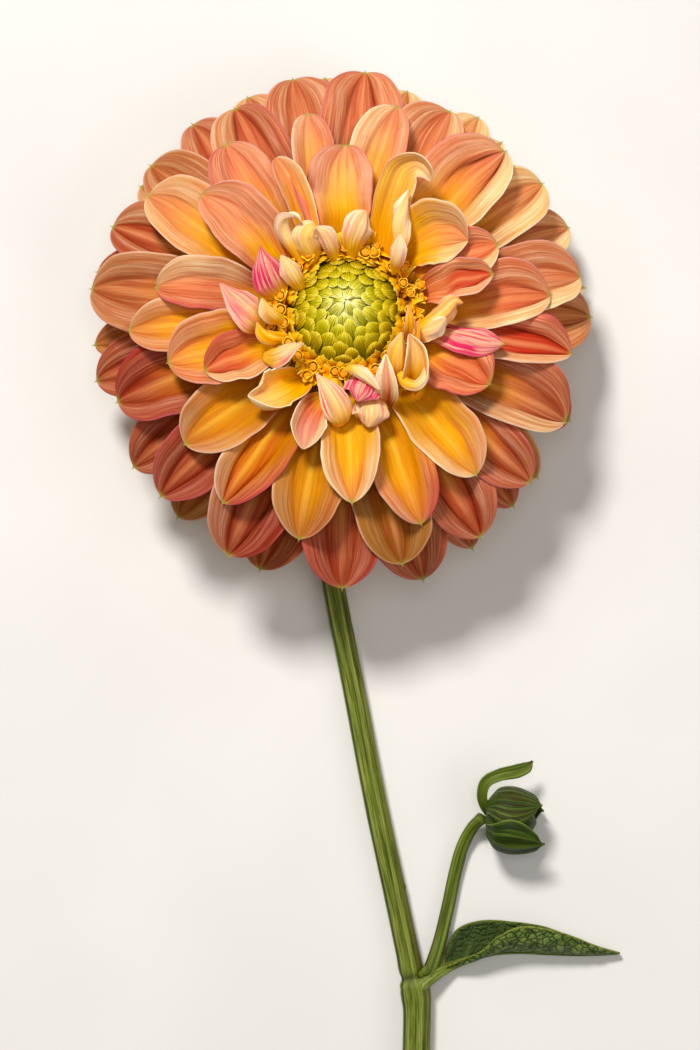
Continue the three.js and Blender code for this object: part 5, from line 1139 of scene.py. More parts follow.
def pointed_scale(sh, az, r0, w0, lean, height, width, seed, green=0.0, curl=0.0, side=0.0):
    """Thin pointed scale between the florets, leaning by 'lean' outwards (mm at its tip)."""
    rs = np.random.RandomState(int(seed * 77) % 100000)
    nt, na = 14, 8
    u = np.linspace(0, 1, nt + 1)
    e = np.array([math.cos(az), math.sin(az), 0.0])
    T = np.array([-math.sin(az), math.cos(az), 0.0])
    rr = r0 + lean * u ** 1.6 + curl * np.maximum(0, u - 0.6) ** 2 * 6
    ww = w0 + height * (u - 0.25 * np.maximum(0, u - 0.55) ** 1.5 * (1 + abs(curl)))
    sw = side * u ** 2
    half = width / 2 * (0.55 + 0.45 * np.sin(math.pi * np.minimum(1, u / 0.9))) * np.maximum(0.03, (1 - u ** 2.6)) ** 0.8
    a = np.linspace(-1, 1, na + 1)
    U, A = np.meshgrid(u, a, indexing="ij")
    H = half[:, None]
    bend = (0.45 + 0.5 * rs.rand()) * H * A ** 2
    P = e * (rr[:, None] - bend * (1 if green else -1) * 0.9)[..., None] + T * (A * H + sw[:, None])[..., None]
    P[..., 2] = ww[:, None] + 0.1 * A ** 2
    V, qd = sheet(to_world(P), 0.075)
    Bf = 0.25 + 0.75 * U
    # darker towards the base, painted shade among the florets
    sh.add(V, qd, None, {"pa": both(A, Bf, A * 0), "pm": both(A * width / 2, U * height, A * 0 + seed),
                         "k1": both((1 - sstep(0.0, 0.42, U)) * 0.9, A * 0, A * 0 + green)})


def open_ring():
    sh = Shape()
    # bed between the florets, coloured dark as painted shade
    k = 90
    q = np.arange(k) * 2 * math.pi / k
    prof = [(11.0, -1.3), (11.35, -0.6), (12.4, -0.3), (13.5, -0.5), (14.2, -1.2), (14.1, -1.8), (12.2, -2.0)]
    rows = []
    for i, (r, w) in enumerate(prof):
        wv = w + (0.22 * np.sin(q * 17 + i) * np.sin(q * 5 + i * 2) if 0 < i < 5 else 0 * q)
        rows.append(np.stack([r * np.cos(q), r * np.sin(q), wv], -1))
    R = np.array(rows)
    I = np.arange(len(prof) * k).reshape(len(prof), k)
    J = np.roll(I, -1, 1)
    I2, J2 = np.roll(I, -1, 0), np.roll(J, -1, 0)
    qd = np.stack([I, J, J2, I2], -1).reshape(-1, 4)[:, ::-1]
    V = to_world(R).reshape(-1, 3)
    Z = np.zeros((len(prof) * k, 1))
    sh.add(V, qd, None, {"pa": np.hstack([Z, Z + 0.1, Z]), "pm": np.hstack([np.tile(q, len(prof))[:, None] * 12, Z, Z]), "k1": np.hstack([Z + 0.95, Z, Z])})
    rs = np.random.RandomState(11)
    tang = lambda az: np.array([-math.sin(az), math.cos(az), 0])
    outw = lambda az: np.array([math.cos(az), math.sin(az), 0])
    n1 = 24
    for i in range(n1):
        az = 2 * math.pi * (i + 0.35 * (rs.rand() - 0.5)) / n1
        r = 12.0 + 0.35 * rs.rand()
        lean = outw(az) * (0.10 + 0.35 * rs.rand()) + tang(az) * (rs.rand() - 0.5) * 0.5
        corolla(sh, (r * math.cos(az), r * math.sin(az), -0.9 + 0.3 * rs.rand()), np.array([0, 0, 1.0]) + lean, 1.9 + 1.3 * rs.rand(), 0.82 + 0.30 * rs.rand(), 0.45 + 0.45 * rs.rand(), 3.1 + i * 0.77)
    n2 = 25
    for i in range(n2):
        az = 2 * math.pi * (i + 0.5 + 0.4 * (rs.rand() - 0.5)) / n2
        r = 13.7 + 0.5 * rs.rand()
        lean = outw(az) * (0.35 + 0.55 * rs.rand()) + tang(az) * (rs.rand() - 0.5) * 0.6
        corolla(sh, (r * math.cos(az), r * math.sin(az), -1.4 + 0.3 * rs.rand()), np.array([0, 0, 1.0]) + lean, 1.8 + 1.5 * rs.rand(), 0.80 + 0.30 * rs.rand(), 0.55 + 0.55 * rs.rand(), 40.2 + i * 0.77)
    for i in range(34):                                  # inner, greenish scales round the disc
        az = 2 * math.pi * (i + 0.6 * (rs.rand() - 0.5)) / 34
        pointed_scale(sh, az, 11.6 + 0.2 * rs.rand(), -1.3, -1.9 + 1.3 * rs.rand(), 2.9 + 1.2 * rs.rand(), 2.4 + 0.8 * rs.rand(), 70 + i * 1.3, green=0.15 + 0.5 * rs.rand(), curl=-0.3 * rs.rand(), side=1.6 * (rs.rand() - 0.5))
    for i in range(30):                                  # golden scales leaning over the disc
        az = 2 * math.pi * (i + 0.7 * (rs.rand() - 0.5)) / 30
        pointed_scale(sh, az, 12.5 + 0.3 * rs.rand(), -1.2, -1.6 - 1.2 * rs.rand(), 2.6 + 0.9 * rs.rand(), 2.0 + 0.9 * rs.rand(), 320 + i * 1.1, green=0.10 + 0.2 * rs.rand(), curl=0.3 * rs.rand(), side=1.8 * (rs.rand() - 0.5))
    for i in range(60):                                  # long scales below the florets, closing the gaps to the rays
        az = 2 * math.pi * (i + 0.6 * (rs.rand() - 0.5)) / 60
        pointed_scale(sh, az, 13.3 + 0.5 * rs.rand(), -5.2, 1.0 + 1.5 * rs.rand(), 3.6 + 1.0 * rs.rand(), 2.4 + 0.8 * rs.rand(), 520 + i * 1.3, green=0.15 * rs.rand(), curl=0.3 * rs.rand(), side=1.2 * (rs.rand() - 0.5))
    for i in range(96):                                  # golden scales curling among the florets
        az = 2 * math.pi * (i + 0.8 * (rs.rand() - 0.5)) / 96
        out = rs.rand()
        dirn = (2.6 if rs.rand() < 0.62 else -1.6) * (0.6 + 0.6 * rs.rand())
        pointed_scale(sh, az, 12.3 + 2.5 * out - 0.2 * dirn, -1.6 + 0.6 * rs.rand(), dirn, 2.0 + 2.2 * rs.rand(), 2.3 + 1.9 * rs.rand(), 140 + i * 1.7, green=0.05 * rs.rand(), curl=0.9 * (rs.rand() - 0.3), side=4.0 * (rs.rand() - 0.5))
    sh.build("disc_open_florets", MAT_FLORET, "disc_floret", "disc_florets_open")


closed_disc()
open_ring()


# ------------------------------------------------------------------ stem, receptacle, involucre
MAT_STEM = green_material("stem_green", base="#5E6A08", dark="#3A4400", pale="#9AA24E", purple="#4A2412")
MAT_SHOOT = green_material("shoot_green", base="#566606", dark="#344200", pale="#82903A", purple="#46280C")
MAT_BRACT = green_material("bract_green", base="#526408", dark="#324200", pale="#86943C", purple="#4C340A", gloss=0.45)
MAT_RECEPT = green_material("receptacle_green", base="#6E7A24", dark="#485410", pale="#9AA45A", purple="#5A4A1A", gloss=0.55, scale=0.7)
MAT_BUD = green_material("bud_green", base="#3A5204", dark="#1C2C00", pale="#7C8C38", purple="#3E2A0A", gloss=0.32, scale=1.3)
MAT_LEAF = leaf_material()


def lathe_bloom(sh, prof, k, att, bump=0.0, waves=11):
    q = np.arange(k) * 2 * math.pi / k
    rows = []
    for i, (r, w) in enumerate(prof):
        b = 1 + bump * np.cos(waves * q) * (1 if 0 < i < len(prof) - 1 else 0)
        rows.append(np.stack([r * b * np.cos(q), r * b * np.sin(q), np.full(k, w)], -1))
    V, qd, tr = rings(to_world(np.array(rows)))
    n = len(prof)
    Q, I = np.meshgrid(q, np.arange(n), indexing="xy")
    r = np.array([p[0] for p in prof])[:, None]
    al = np.concatenate([[0], np.cumsum(np.hypot(np.diff([p[0] for p in prof]), np.diff([p[1] for p in prof])))])[:, None] + Q * 0
    z = Q * 0
    sh.add(V, qd, tr, {"pa": ring_att(np.cos(Q), z + I / n, z), "pm": ring_att(Q * 6.0, al, z + 1.7), "k1": ring_att(0.5 + 0.5 * np.cos(waves * Q), z + att[0], z + att[1])})


def fine_prof(pts, n):
    c, _, _ = crom([(a, b, 0) for a, b in pts], n)
    return [(max(float(x), 0.05), float(y)) for x, y, _ in c]


sh = Shape()
lathe_bloom(sh, fine_prof([[0.1, -1.55], [9.5, -1.7], [13.5, -2.2], [13.85, -3.6], [12.6, -7.4], [10.4, -10.4], [7.4, -13.2], [4.6, -15.2], [2.5, -16.3], [0.1, -16.45]], 60), 96, (0.0, 0.1), 0.008, 32)
sh.build("receptacle_cone", MAT_RECEPT, "receptacle", "receptacle")

STEM = [BLOOM_C - AXIS * 16.9, BLOOM_C - AXIS * 20.0,
        np.array([BLOOM_C[0] - 0.5, BLOOM_C[1] - 5.6, 8.0]), np.array([BLOOM_C[0] - 1.2, BLOOM_C[1] - 9.4, 4.4]),
        np.array([BLOOM_C[0] - 2.4, BLOOM_C[1] - 15.0, 2.75]), np.array([BLOOM_C[0] - 4.6, BLOOM_C[1] - 26, 2.35]),
        np.array([BLOOM_C[0] - 4.9, BLOOM_C[1] - 40, 2.3])] + [plan_xy(*p) for p in [
            (333.5, 585, 2.3), (354, 690, 2.4), (375, 800, 2.5), (396.5, 900, 2.6), (411.5, 972, 2.9),
            (416.5, 1000, 3.0), (416.5, 1050, 2.95), (416.5, 1108, 2.95)]]


def ridged_tube(sh, C, L, rfun, k, ridges, depth, seed, purple=None, dark=None, ends=(0, 0), node=None):
    """Tube along C with longitudinal ridges; rfun(s mm, angle) gives the radius."""
    D, S, N = frames(C)
    n = len(C)
    al = np.linspace(0, L, n)
    q = np.arange(k) * 2 * math.pi / k
    Q, A = np.meshgrid(q, al, indexing="xy")
    ph = 0.02 * A
    rd = 0.6 * np.cos(ridges * Q + 0.8 * np.sin(ph)) + 0.4 * np.cos((ridges + 5) * Q + 1.3 + 0.6 * np.sin(ph * 1.7))
    R = rfun(A, Q) * (1 + depth * rd)
    nrm = S[:, None] * np.cos(Q)[..., None] + N[:, None] * np.sin(Q)[..., None]
    P = C[:, None] + nrm * R[..., None]
    rid = np.clip(0.5 + 0.6 * rd, 0, 1)
    pu = np.zeros_like(Q) if purple is None else purple(A, nrm)
    dk = np.zeros_like(Q) if dark is None else dark(A, nrm, rd)
    rows, at = [P], [(np.cos(Q), A / L, Q * 0, Q * 2.4, A, Q * 0 + seed, rid, pu, dk)]

    def cap(i, sign):
        out = []
        for f, back in ((0.93, -0.06), (0.70, 0.10), (0.40, 0.02), (0.12, 0.12)):
            ring = C[i] + nrm[i] * (R[i] * f)[:, None] - D[i] * sign * back
            z = np.zeros(k)
            out.append((ring[None], (z[None], z[None], z[None], (q * 2.4 * f)[None], (z + f * 2)[None], (z + seed)[None], (z + 1.0)[None], z[None], (z + (0.35 if f > 0.8 else 0))[None])))
        return out
    if ends[1]:
        for r, a in cap(-1, 1):
            rows.append(r)
            at.append(a)
    if ends[0]:
        for r, a in cap(0, -1):
            rows.insert(0, r)
            at.insert(0, a)
    P = np.concatenate(rows)
    F = [np.concatenate([x[j] for x in at]) for j in range(9)]
    V, qd, tr = rings(P)
    sh.add(V, qd, tr, {"pa": ring_att(*F[0:3]), "pm": ring_att(*F[3:6]), "k1": ring_att(*F[6:9])})
    return D, S, N


sh = Shape()
C, par, L = crom(STEM, 460)
al = np.linspace(0, L, len(C))
node_at = al[np.argmin(np.linalg.norm(C[:, :2] - plan_xy(412, 979, 2.9)[:2], axis=1))]


def stem_r(A, Q):
    base = lerp(2.2, 2.28, sstep(10, 60, A))
    base = lerp(base, 2.38, sstep(80, node_at - 4, A))
    base = lerp(base, 2.84, sstep(node_at - 1.0, node_at + 5, A))
    sw = 0.42 * np.exp(-((A - node_at - 2.6) / 2.4) ** 2) - 0.26 * np.exp(-((A - node_at + 0.4) / 0.8) ** 2) + 0.12 * np.exp(-((A - node_at + 2.6) / 1.6) ** 2)
    lip = 0.20 * np.exp(-((A - node_at - 0.9 - 0.8 * np.cos(Q)) / 0.45) ** 2)
    top = 0.35 * (1 - sstep(0, 3.0, A))
    return np.minimum(base + sw + lip + top, 3.1)


# purple blush on the right; painted shade on the left side and in the grooves, and a dark ring at the joint
ridged_tube(sh, C, L, stem_r, 72, 7, 0.030, 2.3,
            purple=lambda A, n: sstep(0.25, 0.95, n[..., 0]) * (0.55 + 0.45 * np.sin(A * 0.05)) * sstep(20, 60, A) * (1 - 0.7 * sstep(node_at, node_at + 6, A)),
            dark=lambda A, n, rd: np.clip(sstep(0.55, 0.95, -n[..., 0]) * 0.5 * sstep(0.1, -0.6, rd) + 0.30 * sstep(-0.2, -0.9, rd) + 0.8 * np.exp(-((A - node_at + 0.4) / 0.6) ** 2), 0, 1),
            ends=(0, 1))
# small dry scar beside the joint
for (x, y, z, l, w_) in [(402.6, 992, 3.4, 1.7, 0.34), (404.2, 887, 3.4, 1.5, 0.34)]:
    c = plan_xy(x, y, z)
    pts = [c + np.array([0, l * (t - 0.5), 0.1 * math.sin(t * 3.1)]) for t in np.linspace(0, 1, 8)]
    cc, _, l2 = crom(pts, 12)
    D, S, N = frames(cc)
    q = np.arange(8) * math.pi / 4
    r = w_ * np.sin(np.linspace(0.25, 2.9, 12))[:, None] + 0 * q
    P = cc[:, None] + (S[:, None] * np.cos(q)[:, None] + N[:, None] * np.sin(q)[:, None]) * r[..., None]
    V, qd, tr = rings(P)
    z0 = np.zeros((12, 8))
    sh.add(V, qd, tr, {"pa": ring_att(z0, z0, z0), "pm": ring_att(z0, z0, z0), "k1": ring_att(z0 + 0.2, z0 + 0.9, z0)})
sh.build("stem_main", MAT_STEM, "stem", "main_stem")

# involucre: cup, thin inner bracts, five leafy outer bracts
sh = Shape()
lathe_bloom(sh, fine_prof([[2.6, -13.9], [6.9, -13.75], [8.2, -13.7], [8.9, -14.6], [7.6, -16.0], [5.2, -17.0], [3.2, -18.4], [2.45, -19.8], [2.3, -21.0], [2.0, -21.2]], 46), 72, (0.0, 0.0), 0.02, 13)


def green_blade(sh, pts, half, seed, arch=0.5, th=0.16, nv=7, tonorm=None, att=(0.0, 0.0), rim=0.8):
    """Ribbed green bract along plan or bloom points, half widths in mm."""
    nt, na = 34, 18
    C, par, L = crom(pts, nt + 1)
    D = unit(np.gradient(C, axis=0))
    up = np.asarray(tonorm if tonorm is not None else (0, 0, 1.0))
    S = unit(np.cross(up, D))
    N = np.cross(D, S)
    u = np.linspace(0, 1, nt + 1)
    h = np.interp(par, np.arange(len(pts)), half)
    for _ in range(3):
        h[1:-1] = (h[:-2] + 2 * h[1:-1] + h[2:]) / 4
    a = np.linspace(-1, 1, na + 1)
    A = np.repeat(a[None], nt + 1, 0)
    U = np.repeat(u[:, None], na + 1, 1)
    H = h[:, None]
    rib = np.cos(math.pi * nv * A)
    d = arch * H * A ** 2 + 0.05 * rib * np.minimum(1, H / 1.5) + 0.12 * A ** 2 * wob(u * 2, seed)[:, None] * H
    P = C[:, None] + S[:, None] * (A * H)[..., None] + N[:, None] * d[..., None]
    edge = np.exp(-(((1 - np.abs(A)) * H) / 0.22) ** 2)
    tone = lambda: {"pa": both(A, U, A * 0), "pm": both(A * h.max(), U * L, A * 0 + seed),
                    "k1": both(np.clip(sstep(0.3, 1.0, rib) * 0.5 + edge * rim + 0.5 * np.exp(-(A / 0.1) ** 2), 0, 1), A * 0 + att[0] * sstep(0.4, 1, U), A * 0 + att[1])}
    return P, th * np.minimum(1, 0.3 + H + 0 * A), tone()


for i in range(8):
    az = rad(i * 45 + 22)
    e = np.array([math.cos(az), math.sin(az), 0])
    pts = [e * r + np.array([0, 0, w]) for r, w in [(7.0, -14.6), (9.6, -15.3), (12.6, -15.6), (15.2, -15.9)]]
    P, th, at = green_blade(sh, pts, [2.2, 2.9, 2.6, 0.5], 20 + i, arch=-0.12, th=0.10)
    V, qd = sheet(to_world(P), th)
    at["k1"][:, 0] = np.clip(at["k1"][:, 0] + 0.55, 0, 1)
    sh.add(V, qd, None, at)
for i, azd in enumerate([18, 90, 162, 226, 314]):
    az = rad(azd)
    e = np.array([math.cos(az), math.sin(az), 0])
    pts = [e * r + np.array([0, 0, w]) for r, w in [(6.9, -15.3), (8.4, -15.6), (10.4, -16.6), (13.4, -19.0), (16.0, -22.2), (17.6, -25.4)]]
    P, th, at = green_blade(sh, pts, [1.5, 2.0, 2.8, 3.1, 2.2, 0.35], 30 + i, arch=-0.15, th=0.20)
    V, qd = sheet(to_world(P), th)
    sh.add(V, qd, None, at)
sh.build("involucre", MAT_BRACT, "bract", "involucre_bracts")

# ------------------------------------------------------------------ side shoot and bud
sh = Shape()
SHOOT = [plan_xy(*p) for p in [(427.5, 977, 3.5), (434, 960, 3.0), (440, 940, 2.2), (448, 906, 1.7), (456, 869, 1.6), (463, 845, 2.0), (472, 828, 3.0), (482, 818.0, 4.7)]]
C, par, L2 = crom(SHOOT, 160)
# grooves darkened as painted shade
ridged_tube(sh, C, L2, lambda A, Q: lerp(1.52, 1.34, sstep(0, 12, A)) - 0.14 * sstep(24, 33, A) + 0.10 * np.exp(-((A - L2) / 1.0) ** 2) + 0 * Q, 44, 5, 0.045, 5.1,
            purple=lambda A, n: sstep(0.2, 0.9, -n[..., 0]) * (1 - sstep(8, 22, A)) * 0.7 + 0.25 * sstep(0.5, 1, n[..., 0]),
            dark=lambda A, n, rd: 0.35 * sstep(-0.2, -0.9, rd))


def ovoid(sh, c, axis, ln, r, seed, pale=0.3, k=16, n=12, ribs=5):
    x = unit(axis)
    y = unit(np.cross([0, 0, 1.0], x))
    z = np.cross(x, y)
    q = np.arange(k) * 2 * math.pi / k
    f = np.linspace(0.04, 0.985, n)
    rr = r * np.sin(math.pi * f ** 0.85) ** 0.8
    Q = np.repeat(q[None], n, 0)
    rb = 1 + 0.05 * np.cos(ribs * Q)
    P = c + x * ((f - 0.3) * ln)[:, None, None] + (y * np.cos(Q)[..., None] + z * np.sin(Q)[..., None]) * (rr[:, None] * rb)[..., None]
    V, qd, tr = rings(P)
    Z = np.zeros_like(Q)
    sh.add(V, qd, tr, {"pa": ring_att(Z, Z + f[:, None], Z), "pm": ring_att(Q * r, Z + f[:, None] * ln, Z + seed), "k1": ring_att(Z + pale, Z + 0.25 * f[:, None], Z)})


ovoid(sh, plan_xy(424.5, 973, 4.9), (0.25, 1.0, 0.35), 2.6, 0.85, 3.2, 0.7)
ovoid(sh, plan_xy(421.0, 976, 5.1), (-0.2, 1.0, 0.4), 1.8, 0.55, 4.2, 0.6)
sh.build("shoot_side", MAT_SHOOT, "stem", "side_shoot")

BUD_C = plan_xy(511, 820, 7.15)
BX = unit([1, -0.12, 0.05])
BY = unit(np.cross([0, 0, 1.0], BX))
BZ = np.cross(BX, BY)


def bud_pt(a, b, c):
    return BUD_C + BX * np.asarray(a)[..., None] + BY * np.asarray(b)[..., None] + BZ * np.asarray(c)[..., None]


sh = Shape()
k = 60
q = np.arange(k) * 2 * math.pi / k
prof, _, _ = crom([(-5.3, 0.5, 0), (-4.6, 2.6, 0), (-2.6, 4.1, 0), (0.2, 4.4, 0), (2.6, 3.5, 0), (4.4, 1.8, 0), (5.2, 0.2, 0)], 40)
Q = np.repeat(q[None], 40, 0)
fold = np.abs(np.sin(4 * (Q + prof[:, 0:1] * 0.08)))
R = prof[:, 1:2] * (0.965 + 0.04 * fold ** 0.5)
P = bud_pt(np.repeat(prof[:, 0:1], k, 1), R * np.cos(Q), R * np.sin(Q))
V, qd, tr = rings(P)
Z = Q * 0
sh.add(V, qd, tr, {"pa": ring_att(Z, (prof[:, 0:1] + 5.3) / 10.5 + Z, Z), "pm": ring_att(Q * 4.2, prof[:, 0:1] + Z, Z + 2.2),
                   "k1": ring_att(sstep(0.25, 0.0, fold) * 0.9, Z, sstep(0.3, 0.05, fold) * 0.2)})
sh.build("bud_heart", MAT_BUD, "bud", "bud_core")


def bud_bract(name, node, mid, span, lift, reach, back, seed, ribs, purple, pale=0.75, tipout=0.0):
    nt, na = 40, 30
    u = np.linspace(0, 1, nt + 1)
    a = np.linspace(-1, 1, na + 1)
    U, A = np.meshgrid(u, a, indexing="ij")
    ax = lerp(back, reach, u)
    r = (lift + 1.71 * np.sin(math.pi * u ** 0.8)) * np.where(u < 0.15, 0.72 + 1.87 * u, 1)
    for _ in range(4):
        r[1:-1] = (r[:-2] + 2 * r[1:-1] + r[2:]) / 4
    r = r + tipout * np.maximum(0, u - 0.75) * 4
    half = np.maximum(1.2, span * np.sin(math.pi * np.minimum(0.999, 0.14 + 0.85 * u)) ** 0.7 * (1 - 0.9 * sstep(0.86, 1.0, u)))
    th = np.radians(mid + half[:, None] * A)
    rb = np.cos(math.pi * ribs * A)
    prof_rib = 0.10 * np.clip(rb, -0.4, 1) * np.sin(math.pi * U) ** 0.5
    R = r[:, None] + prof_rib + 0.35 * np.maximum(0, np.abs(A) - 0.8) * wob(u * 2, seed)[:, None] + 0.12 * np.exp(-(A / 0.08) ** 2) * np.sin(math.pi * U)
    P = bud_pt(np.repeat(ax[:, None], na + 1, 1) + 0.25 * A ** 2 * (1 - U) * 0, R * np.cos(th), R * np.sin(th))
    n = grid_normals(P)
    ctr = P - (BUD_C + BX * ax[:, None, None])
    if (n * ctr).sum() < 0:
        P = P[:, ::-1]
        A = A[:, ::-1]
        rb = rb[:, ::-1]
        half_r = half
    arc = np.radians(half)[:, None] * r[:, None]
    edge = np.exp(-(((1 - np.abs(A)) * arc) / 0.20) ** 2) + np.exp(-((1 - U) * (reach - back) / 0.25) ** 2)
    V, qd = sheet(P, np.minimum(0.22, 0.08 + 0.2 * (1 - A ** 2)))
    sh = Shape()
    sh.add(V, qd, None, {"pa": both(A, U, A * 0), "pm": both(A * arc.max(), U * (reach - back), A * 0 + seed),
                         "k1": both(np.clip(sstep(0.2, 1.0, rb) * 0.45 + np.clip(edge, 0, 1) * pale, 0, 1),
                                    np.clip(purple * sstep(0.5, -0.4, rb) * np.sin(math.pi * U) * (1 - edge), 0, 1),
                                    np.clip(0.5 * sstep(-0.3, -1.0, rb) * (1 - edge), 0, 1))})
    sh.build(name, MAT_BUD, "bud", node)


bud_bract("bud_bract_top_shell", "bud_bract_upper", 40, 60, 4.9, 6.0, -5.0, 1.3, 9, 0.85, 0.9)
bud_bract("bud_bract_low_shell", "bud_bract_lower", 138, 52, 5.1, 7.4, -4.6, 2.9, 4, 0.1, 0.5)
bud_bract("bud_bract_small_shell", "bud_bract_small", 215, 40, 4.9, 6.6, -4.4, 4.1, 4, 0.15, 0.5)
bud_bract("bud_bract_behind_shell", "bud_bract_behind", 300, 54, 4.8, 6.4, -4.6, 5.7, 4, 0.3, 0.6)

sh = Shape()
pts = [plan_xy(*p) for p in [(488, 812, 5.6), (483.6, 804, 7.2), (482, 794, 8.2), (486, 782, 8.6), (499, 775, 8.4), (517, 771, 8.0), (527, 767, 7.8), (532.5, 761, 7.6)]]
C, par, L3 = crom(pts, 44)
half = np.interp(par, range(8), [0.8, 0.9, 1.0, 1.15, 1.2, 1.35, 1.1, 0.15])
D = unit(np.gradient(C, axis=0))
S = unit(np.cross([0, 0, 1.0], D))
N = np.cross(D, S)
a = np.linspace(-1, 1, 13)
A = np.repeat(a[None], 44, 0)
rb = np.cos(math.pi * 3 * A)
P = C[:, None] + S[:, None] * (A * half[:, None])[..., None] + N[:, None] * (0.55 * half[:, None] * A ** 2 + 0.05 * rb)[..., None]
U = np.repeat(np.linspace(0, 1, 44)[:, None], 13, 1)
V, qd = sheet(P, 0.14)
sh.add(V, qd, None, {"pa": both(A, U, A * 0), "pm": both(A * 1.3, U * L3, A * 0 + 3.3), "k1": both(np.clip(0.35 + 0.4 * sstep(0, 1, rb), 0, 1), 0.8 * sstep(0.9, 1.0, U), A * 0)})
sh.build("bud_bract_turned_back", MAT_BRACT, "bud", "bud_bract_reflexed")

# ------------------------------------------------------------------ leaf
sh = Shape()
RIB = [(421, 983, 3.6), (432, 976, 3.4), (444, 969, 2.6), (456, 964, 1.6), (470, 959, 1.1), (490, 953.5, 1.0), (516, 951.5, 1.0), (545, 953, 1.0), (575, 954.5, 1.0), (600, 954.5, 1.2), (620, 953.6, 1.4)]
FAR = [(421, 981.5, 3.6), (432, 974.2, 3.4), (442, 966, 2.6), (446, 950, 1.2), (456, 930, 0.9), (480, 920.5, 0.9), (516, 922, 0.9), (546, 927, 0.9), (574, 938, 1.0), (599, 947, 1.1), (620, 953, 1.4)]
NEAR = [(421, 982.0, 4.4), (432, 975.0, 4.2), (445, 967.2, 3.8), (460, 960, 4.6), (480, 952, 6.6), (497, 938, 8.8), (520, 927, 9.8), (546, 929, 9.0), (573, 936, 7.2), (598, 946, 4.4), (620, 953, 2.2)]
nL = 90


def row(pts):
    P = np.array([plan_xy(*p) for p in pts])
    st = np.arange(len(pts))
    C, par, L = crom(P, 400)
    w = np.linspace(0, len(pts) - 1, nL)
    return np.stack([np.interp(w, par, C[:, k]) for k in range(3)], -1), w / (len(pts) - 1)


R_, U_ = row(RIB)
F_, _ = row(FAR)
N_, _ = row(NEAR)
start = 18                                               # the blade starts past the stalk
R_, F_, N_, U_ = R_[start:], F_[start:], N_[start:], U_[start:]
n = len(R_)
al = np.concatenate([[0], np.cumsum(np.linalg.norm(np.diff(R_, axis=0), axis=1))])
mf, mn = 18, 24
f1 = np.linspace(1, 0, mf + 1)[:-1]
f2 = np.linspace(0, 1, mn + 1)
grow = sstep(0, 0.08, (U_ - U_[0]))[:, None]
far = np.stack([lerp(R_, F_, f) + np.array([0, 0, -0.35]) * math.sin(math.pi * f) + np.array([0, 0, 0.35]) * 0 for f in f1], 1)
nearr = np.stack([lerp(R_, N_, f ** 0.92) + (np.array([0, -0.9, 0.9]) * math.sin(math.pi * f) * np.sin(math.pi * np.clip((U_ - U_[0]) / (1 - U_[0]), 0, 1))[:, None]) for f in f2], 1)
P = np.concatenate([far, nearr], 1)
wf = np.linalg.norm(F_ - R_, axis=1)[:, None] * f1[None]
wn = np.linalg.norm(N_ - R_, axis=1)[:, None] * f2[None]
AC = np.concatenate([-wf, wn], 1)
AL = np.repeat(al[:, None], AC.shape[1], 1)
sp = 4.6
d = np.abs(((AL - np.abs(AC) * 0.95 + sp / 2) % sp) - sp / 2)
W = np.maximum(np.concatenate([np.repeat(np.linalg.norm(F_ - R_, axis=1)[:, None], mf, 1), np.repeat(np.linalg.norm(N_ - R_, axis=1)[:, None], mn + 1, 1)], 1), 0.3)
frac = np.abs(AC) / W
puff = (1 - np.exp(-(d / 0.8) ** 2)) * np.sin(math.pi * np.clip(frac, 0, 1)) * np.minimum(1, W / 4)
cross2 = 0.5 + 0.5 * np.cos(AL * 2.9 + AC * 1.1) * np.cos(AC * 2.3 - AL * 0.8)
nrm = grid_normals(P)
sgn = 1.0 if nrm[:, -4:, 2].mean() > 0 else -1.0
P = P + nrm * ((0.30 * puff + 0.10 * puff * cross2) * sgn)[..., None]
P = P + nrm * (0.35 * sgn * (wob(al / 40, 3.3)[:, None] * frac ** 3 * np.minimum(1, W / 3)))[..., None]
vein = np.clip(0.8 * np.exp(-(d / 0.16) ** 2) * (1 - sstep(0.7, 1.0, frac)) * np.minimum(1, W / 3) + np.exp(-(AC / 0.32) ** 2), 0, 1)
edge = np.exp(-((W - np.abs(AC)) / 0.28) ** 2)
isfar = (AC < -0.02).astype(float)
V, qd = sheet(P, 0.17)
at = {"pa": both(AC / 8, AL / al[-1], AC * 0), "pm": both(AC, AL, AC * 0 + 1.0), "k1": both(vein, edge, AC * 0), "k2": both(frac * 0, isfar, AC * 0)}
half_n = len(at["pa"]) // 2
at["pa"][half_n:, 2] = 1.0
if sgn < 0:
    at["pa"][:, 2] = 1.0 - at["pa"][:, 2]
sh.add(V, qd, None, at)
# stalk, clasping the stem, running on as the midrib under the blade
pts = [plan_xy(*p) for p in [(413.5, 998, 3.9), (416.5, 990.5, 4.6), (422, 984.5, 4.3), (432, 976.5, 3.7), (444, 969.3, 2.7), (456, 964.3, 1.75), (470, 959.4, 1.2), (490, 953.9, 1.0), (516, 951.8, 0.95), (545, 953.2, 0.95), (575, 954.7, 0.95), (600, 954.7, 1.1), (619, 953.7, 1.3)]]
C, par, L4 = crom(pts, 150)
rr = np.interp(par, range(13), [0.5, 1.35, 1.55, 1.35, 1.12, 0.85, 0.66, 0.52, 0.44, 0.38, 0.30, 0.22, 0.10])
D, S, N = frames(C)
k = 22
q = np.arange(k) * 2 * math.pi / k
Q = np.repeat(q[None], 150, 0)
up = unit(np.cross(D, np.cross([0, 0, 1.0], D)))
sd = np.cross(up, D)
groove_ = 1 - 0.22 * np.exp(-((np.angle(np.exp(1j * (Q - math.pi / 2)))) / 0.5) ** 2) + 0.05 * np.cos(7 * Q)
P = C[:, None] + (sd[:, None] * np.cos(Q)[..., None] + up[:, None] * np.sin(Q)[..., None]) * (rr[:, None] * groove_)[..., None]
P[..., 2] = np.maximum(P[..., 2], 0.06)
V, qd, tr = rings(P)
Z = Q * 0
blend_ = 1 - 0.45 * sstep(4, 9, par)[:, None] + Z
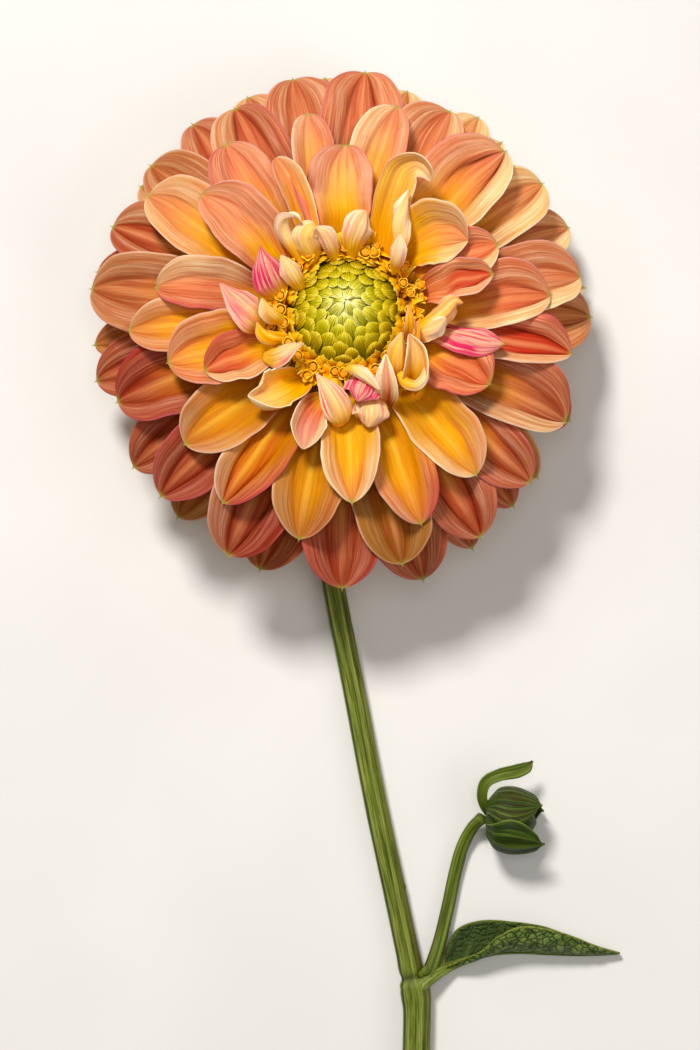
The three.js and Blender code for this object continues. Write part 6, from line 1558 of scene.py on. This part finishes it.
sh.add(V, qd, tr, {"pa": ring_att(Z, Z, Z), "pm": ring_att(Q * 1.2, np.linspace(0, L4, 150)[:, None] + Z, Z + 2), "k1": ring_att(Z, Z, blend_), "k2": ring_att(Z, Z, Z)})
sh.build("leaf_blade", MAT_LEAF, "leaf", "leaf")


# ------------------------------------------------------------------ floor, light, camera
def floor_material():
    n = Nodes("pale_paper_floor", Roughness=0.85, Specular_IOR_Level=0.2)
    g = n.new("ShaderNodeNewGeometry")
    a = n.noise(g.outputs["Position"], 900.0, 4.0)
    b = n.noise(g.outputs["Position"], 14.0, 2.0)
    c = n.mix(n.step(b, 0.3, 0.7), col("#DEDBD6"), col("#E4E1DC"))
    nrm = n.bump(a, 0.0001, 0.25)
    return n.finish(c, None, nrm)


me = bpy.data.meshes.new("floor")
S_ = 3.0
me.from_pydata([(-S_, -S_, 0), (S_, -S_, 0), (S_, S_, 0), (-S_, S_, 0)], [], [(0, 1, 2, 3)])
floor = bpy.data.objects.new("floor", me)
me.materials.append(floor_material())
bpy.context.scene.collection.objects.link(floor)


def area(name, loc, target, size, power, tint=(1, 1, 1)):
    L = bpy.data.lights.new(name, "AREA")
    L.shape = "DISK"
    L.size = size
    L.energy = power
    L.color = tint
    o = bpy.data.objects.new(name, L)
    o.location = loc
    d = np.array(target) - np.array(loc)
    from mathutils import Vector
    o.rotation_euler = Vector(d).to_track_quat("-Z", "Y").to_euler()
    bpy.context.scene.collection.objects.link(o)


area("key", (-0.28, 0.66, 1.00), (0, 0.03, 0), 0.26, 14.6, (1.0, 0.985, 0.96))
area("fill", (0.8, -0.25, 0.8), (0, 0, 0), 0.8, 2.4, (1.0, 0.99, 0.97))
area("top", (0.05, 0.1, 1.35), (0, 0.03, 0), 0.5, 3.0)

w = bpy.data.worlds.new("studio")
bpy.context.scene.world = w
w.use_nodes = True
w.node_tree.nodes["Background"].inputs[0].default_value = (1.0, 0.985, 0.965, 1)
w.node_tree.nodes["Background"].inputs[1].default_value = 0.20

cam = bpy.data.cameras.new("camera")
cam.lens = 36.0 * 975.0 / 210.0
cam.sensor_width = 36.0
cam.clip_start = 0.05
cam.clip_end = 20.0
co = bpy.data.objects.new("camera", cam)
co.location = (-SHIFT[0] / 1000, -SHIFT[1] / 1000, 1.0 - SHIFT[2] / 1000)
co.rotation_euler = (0, 0, 0)
bpy.context.scene.collection.objects.link(co)
bpy.context.scene.camera = co
bpy.context.scene.view_settings.view_transform = "Standard"
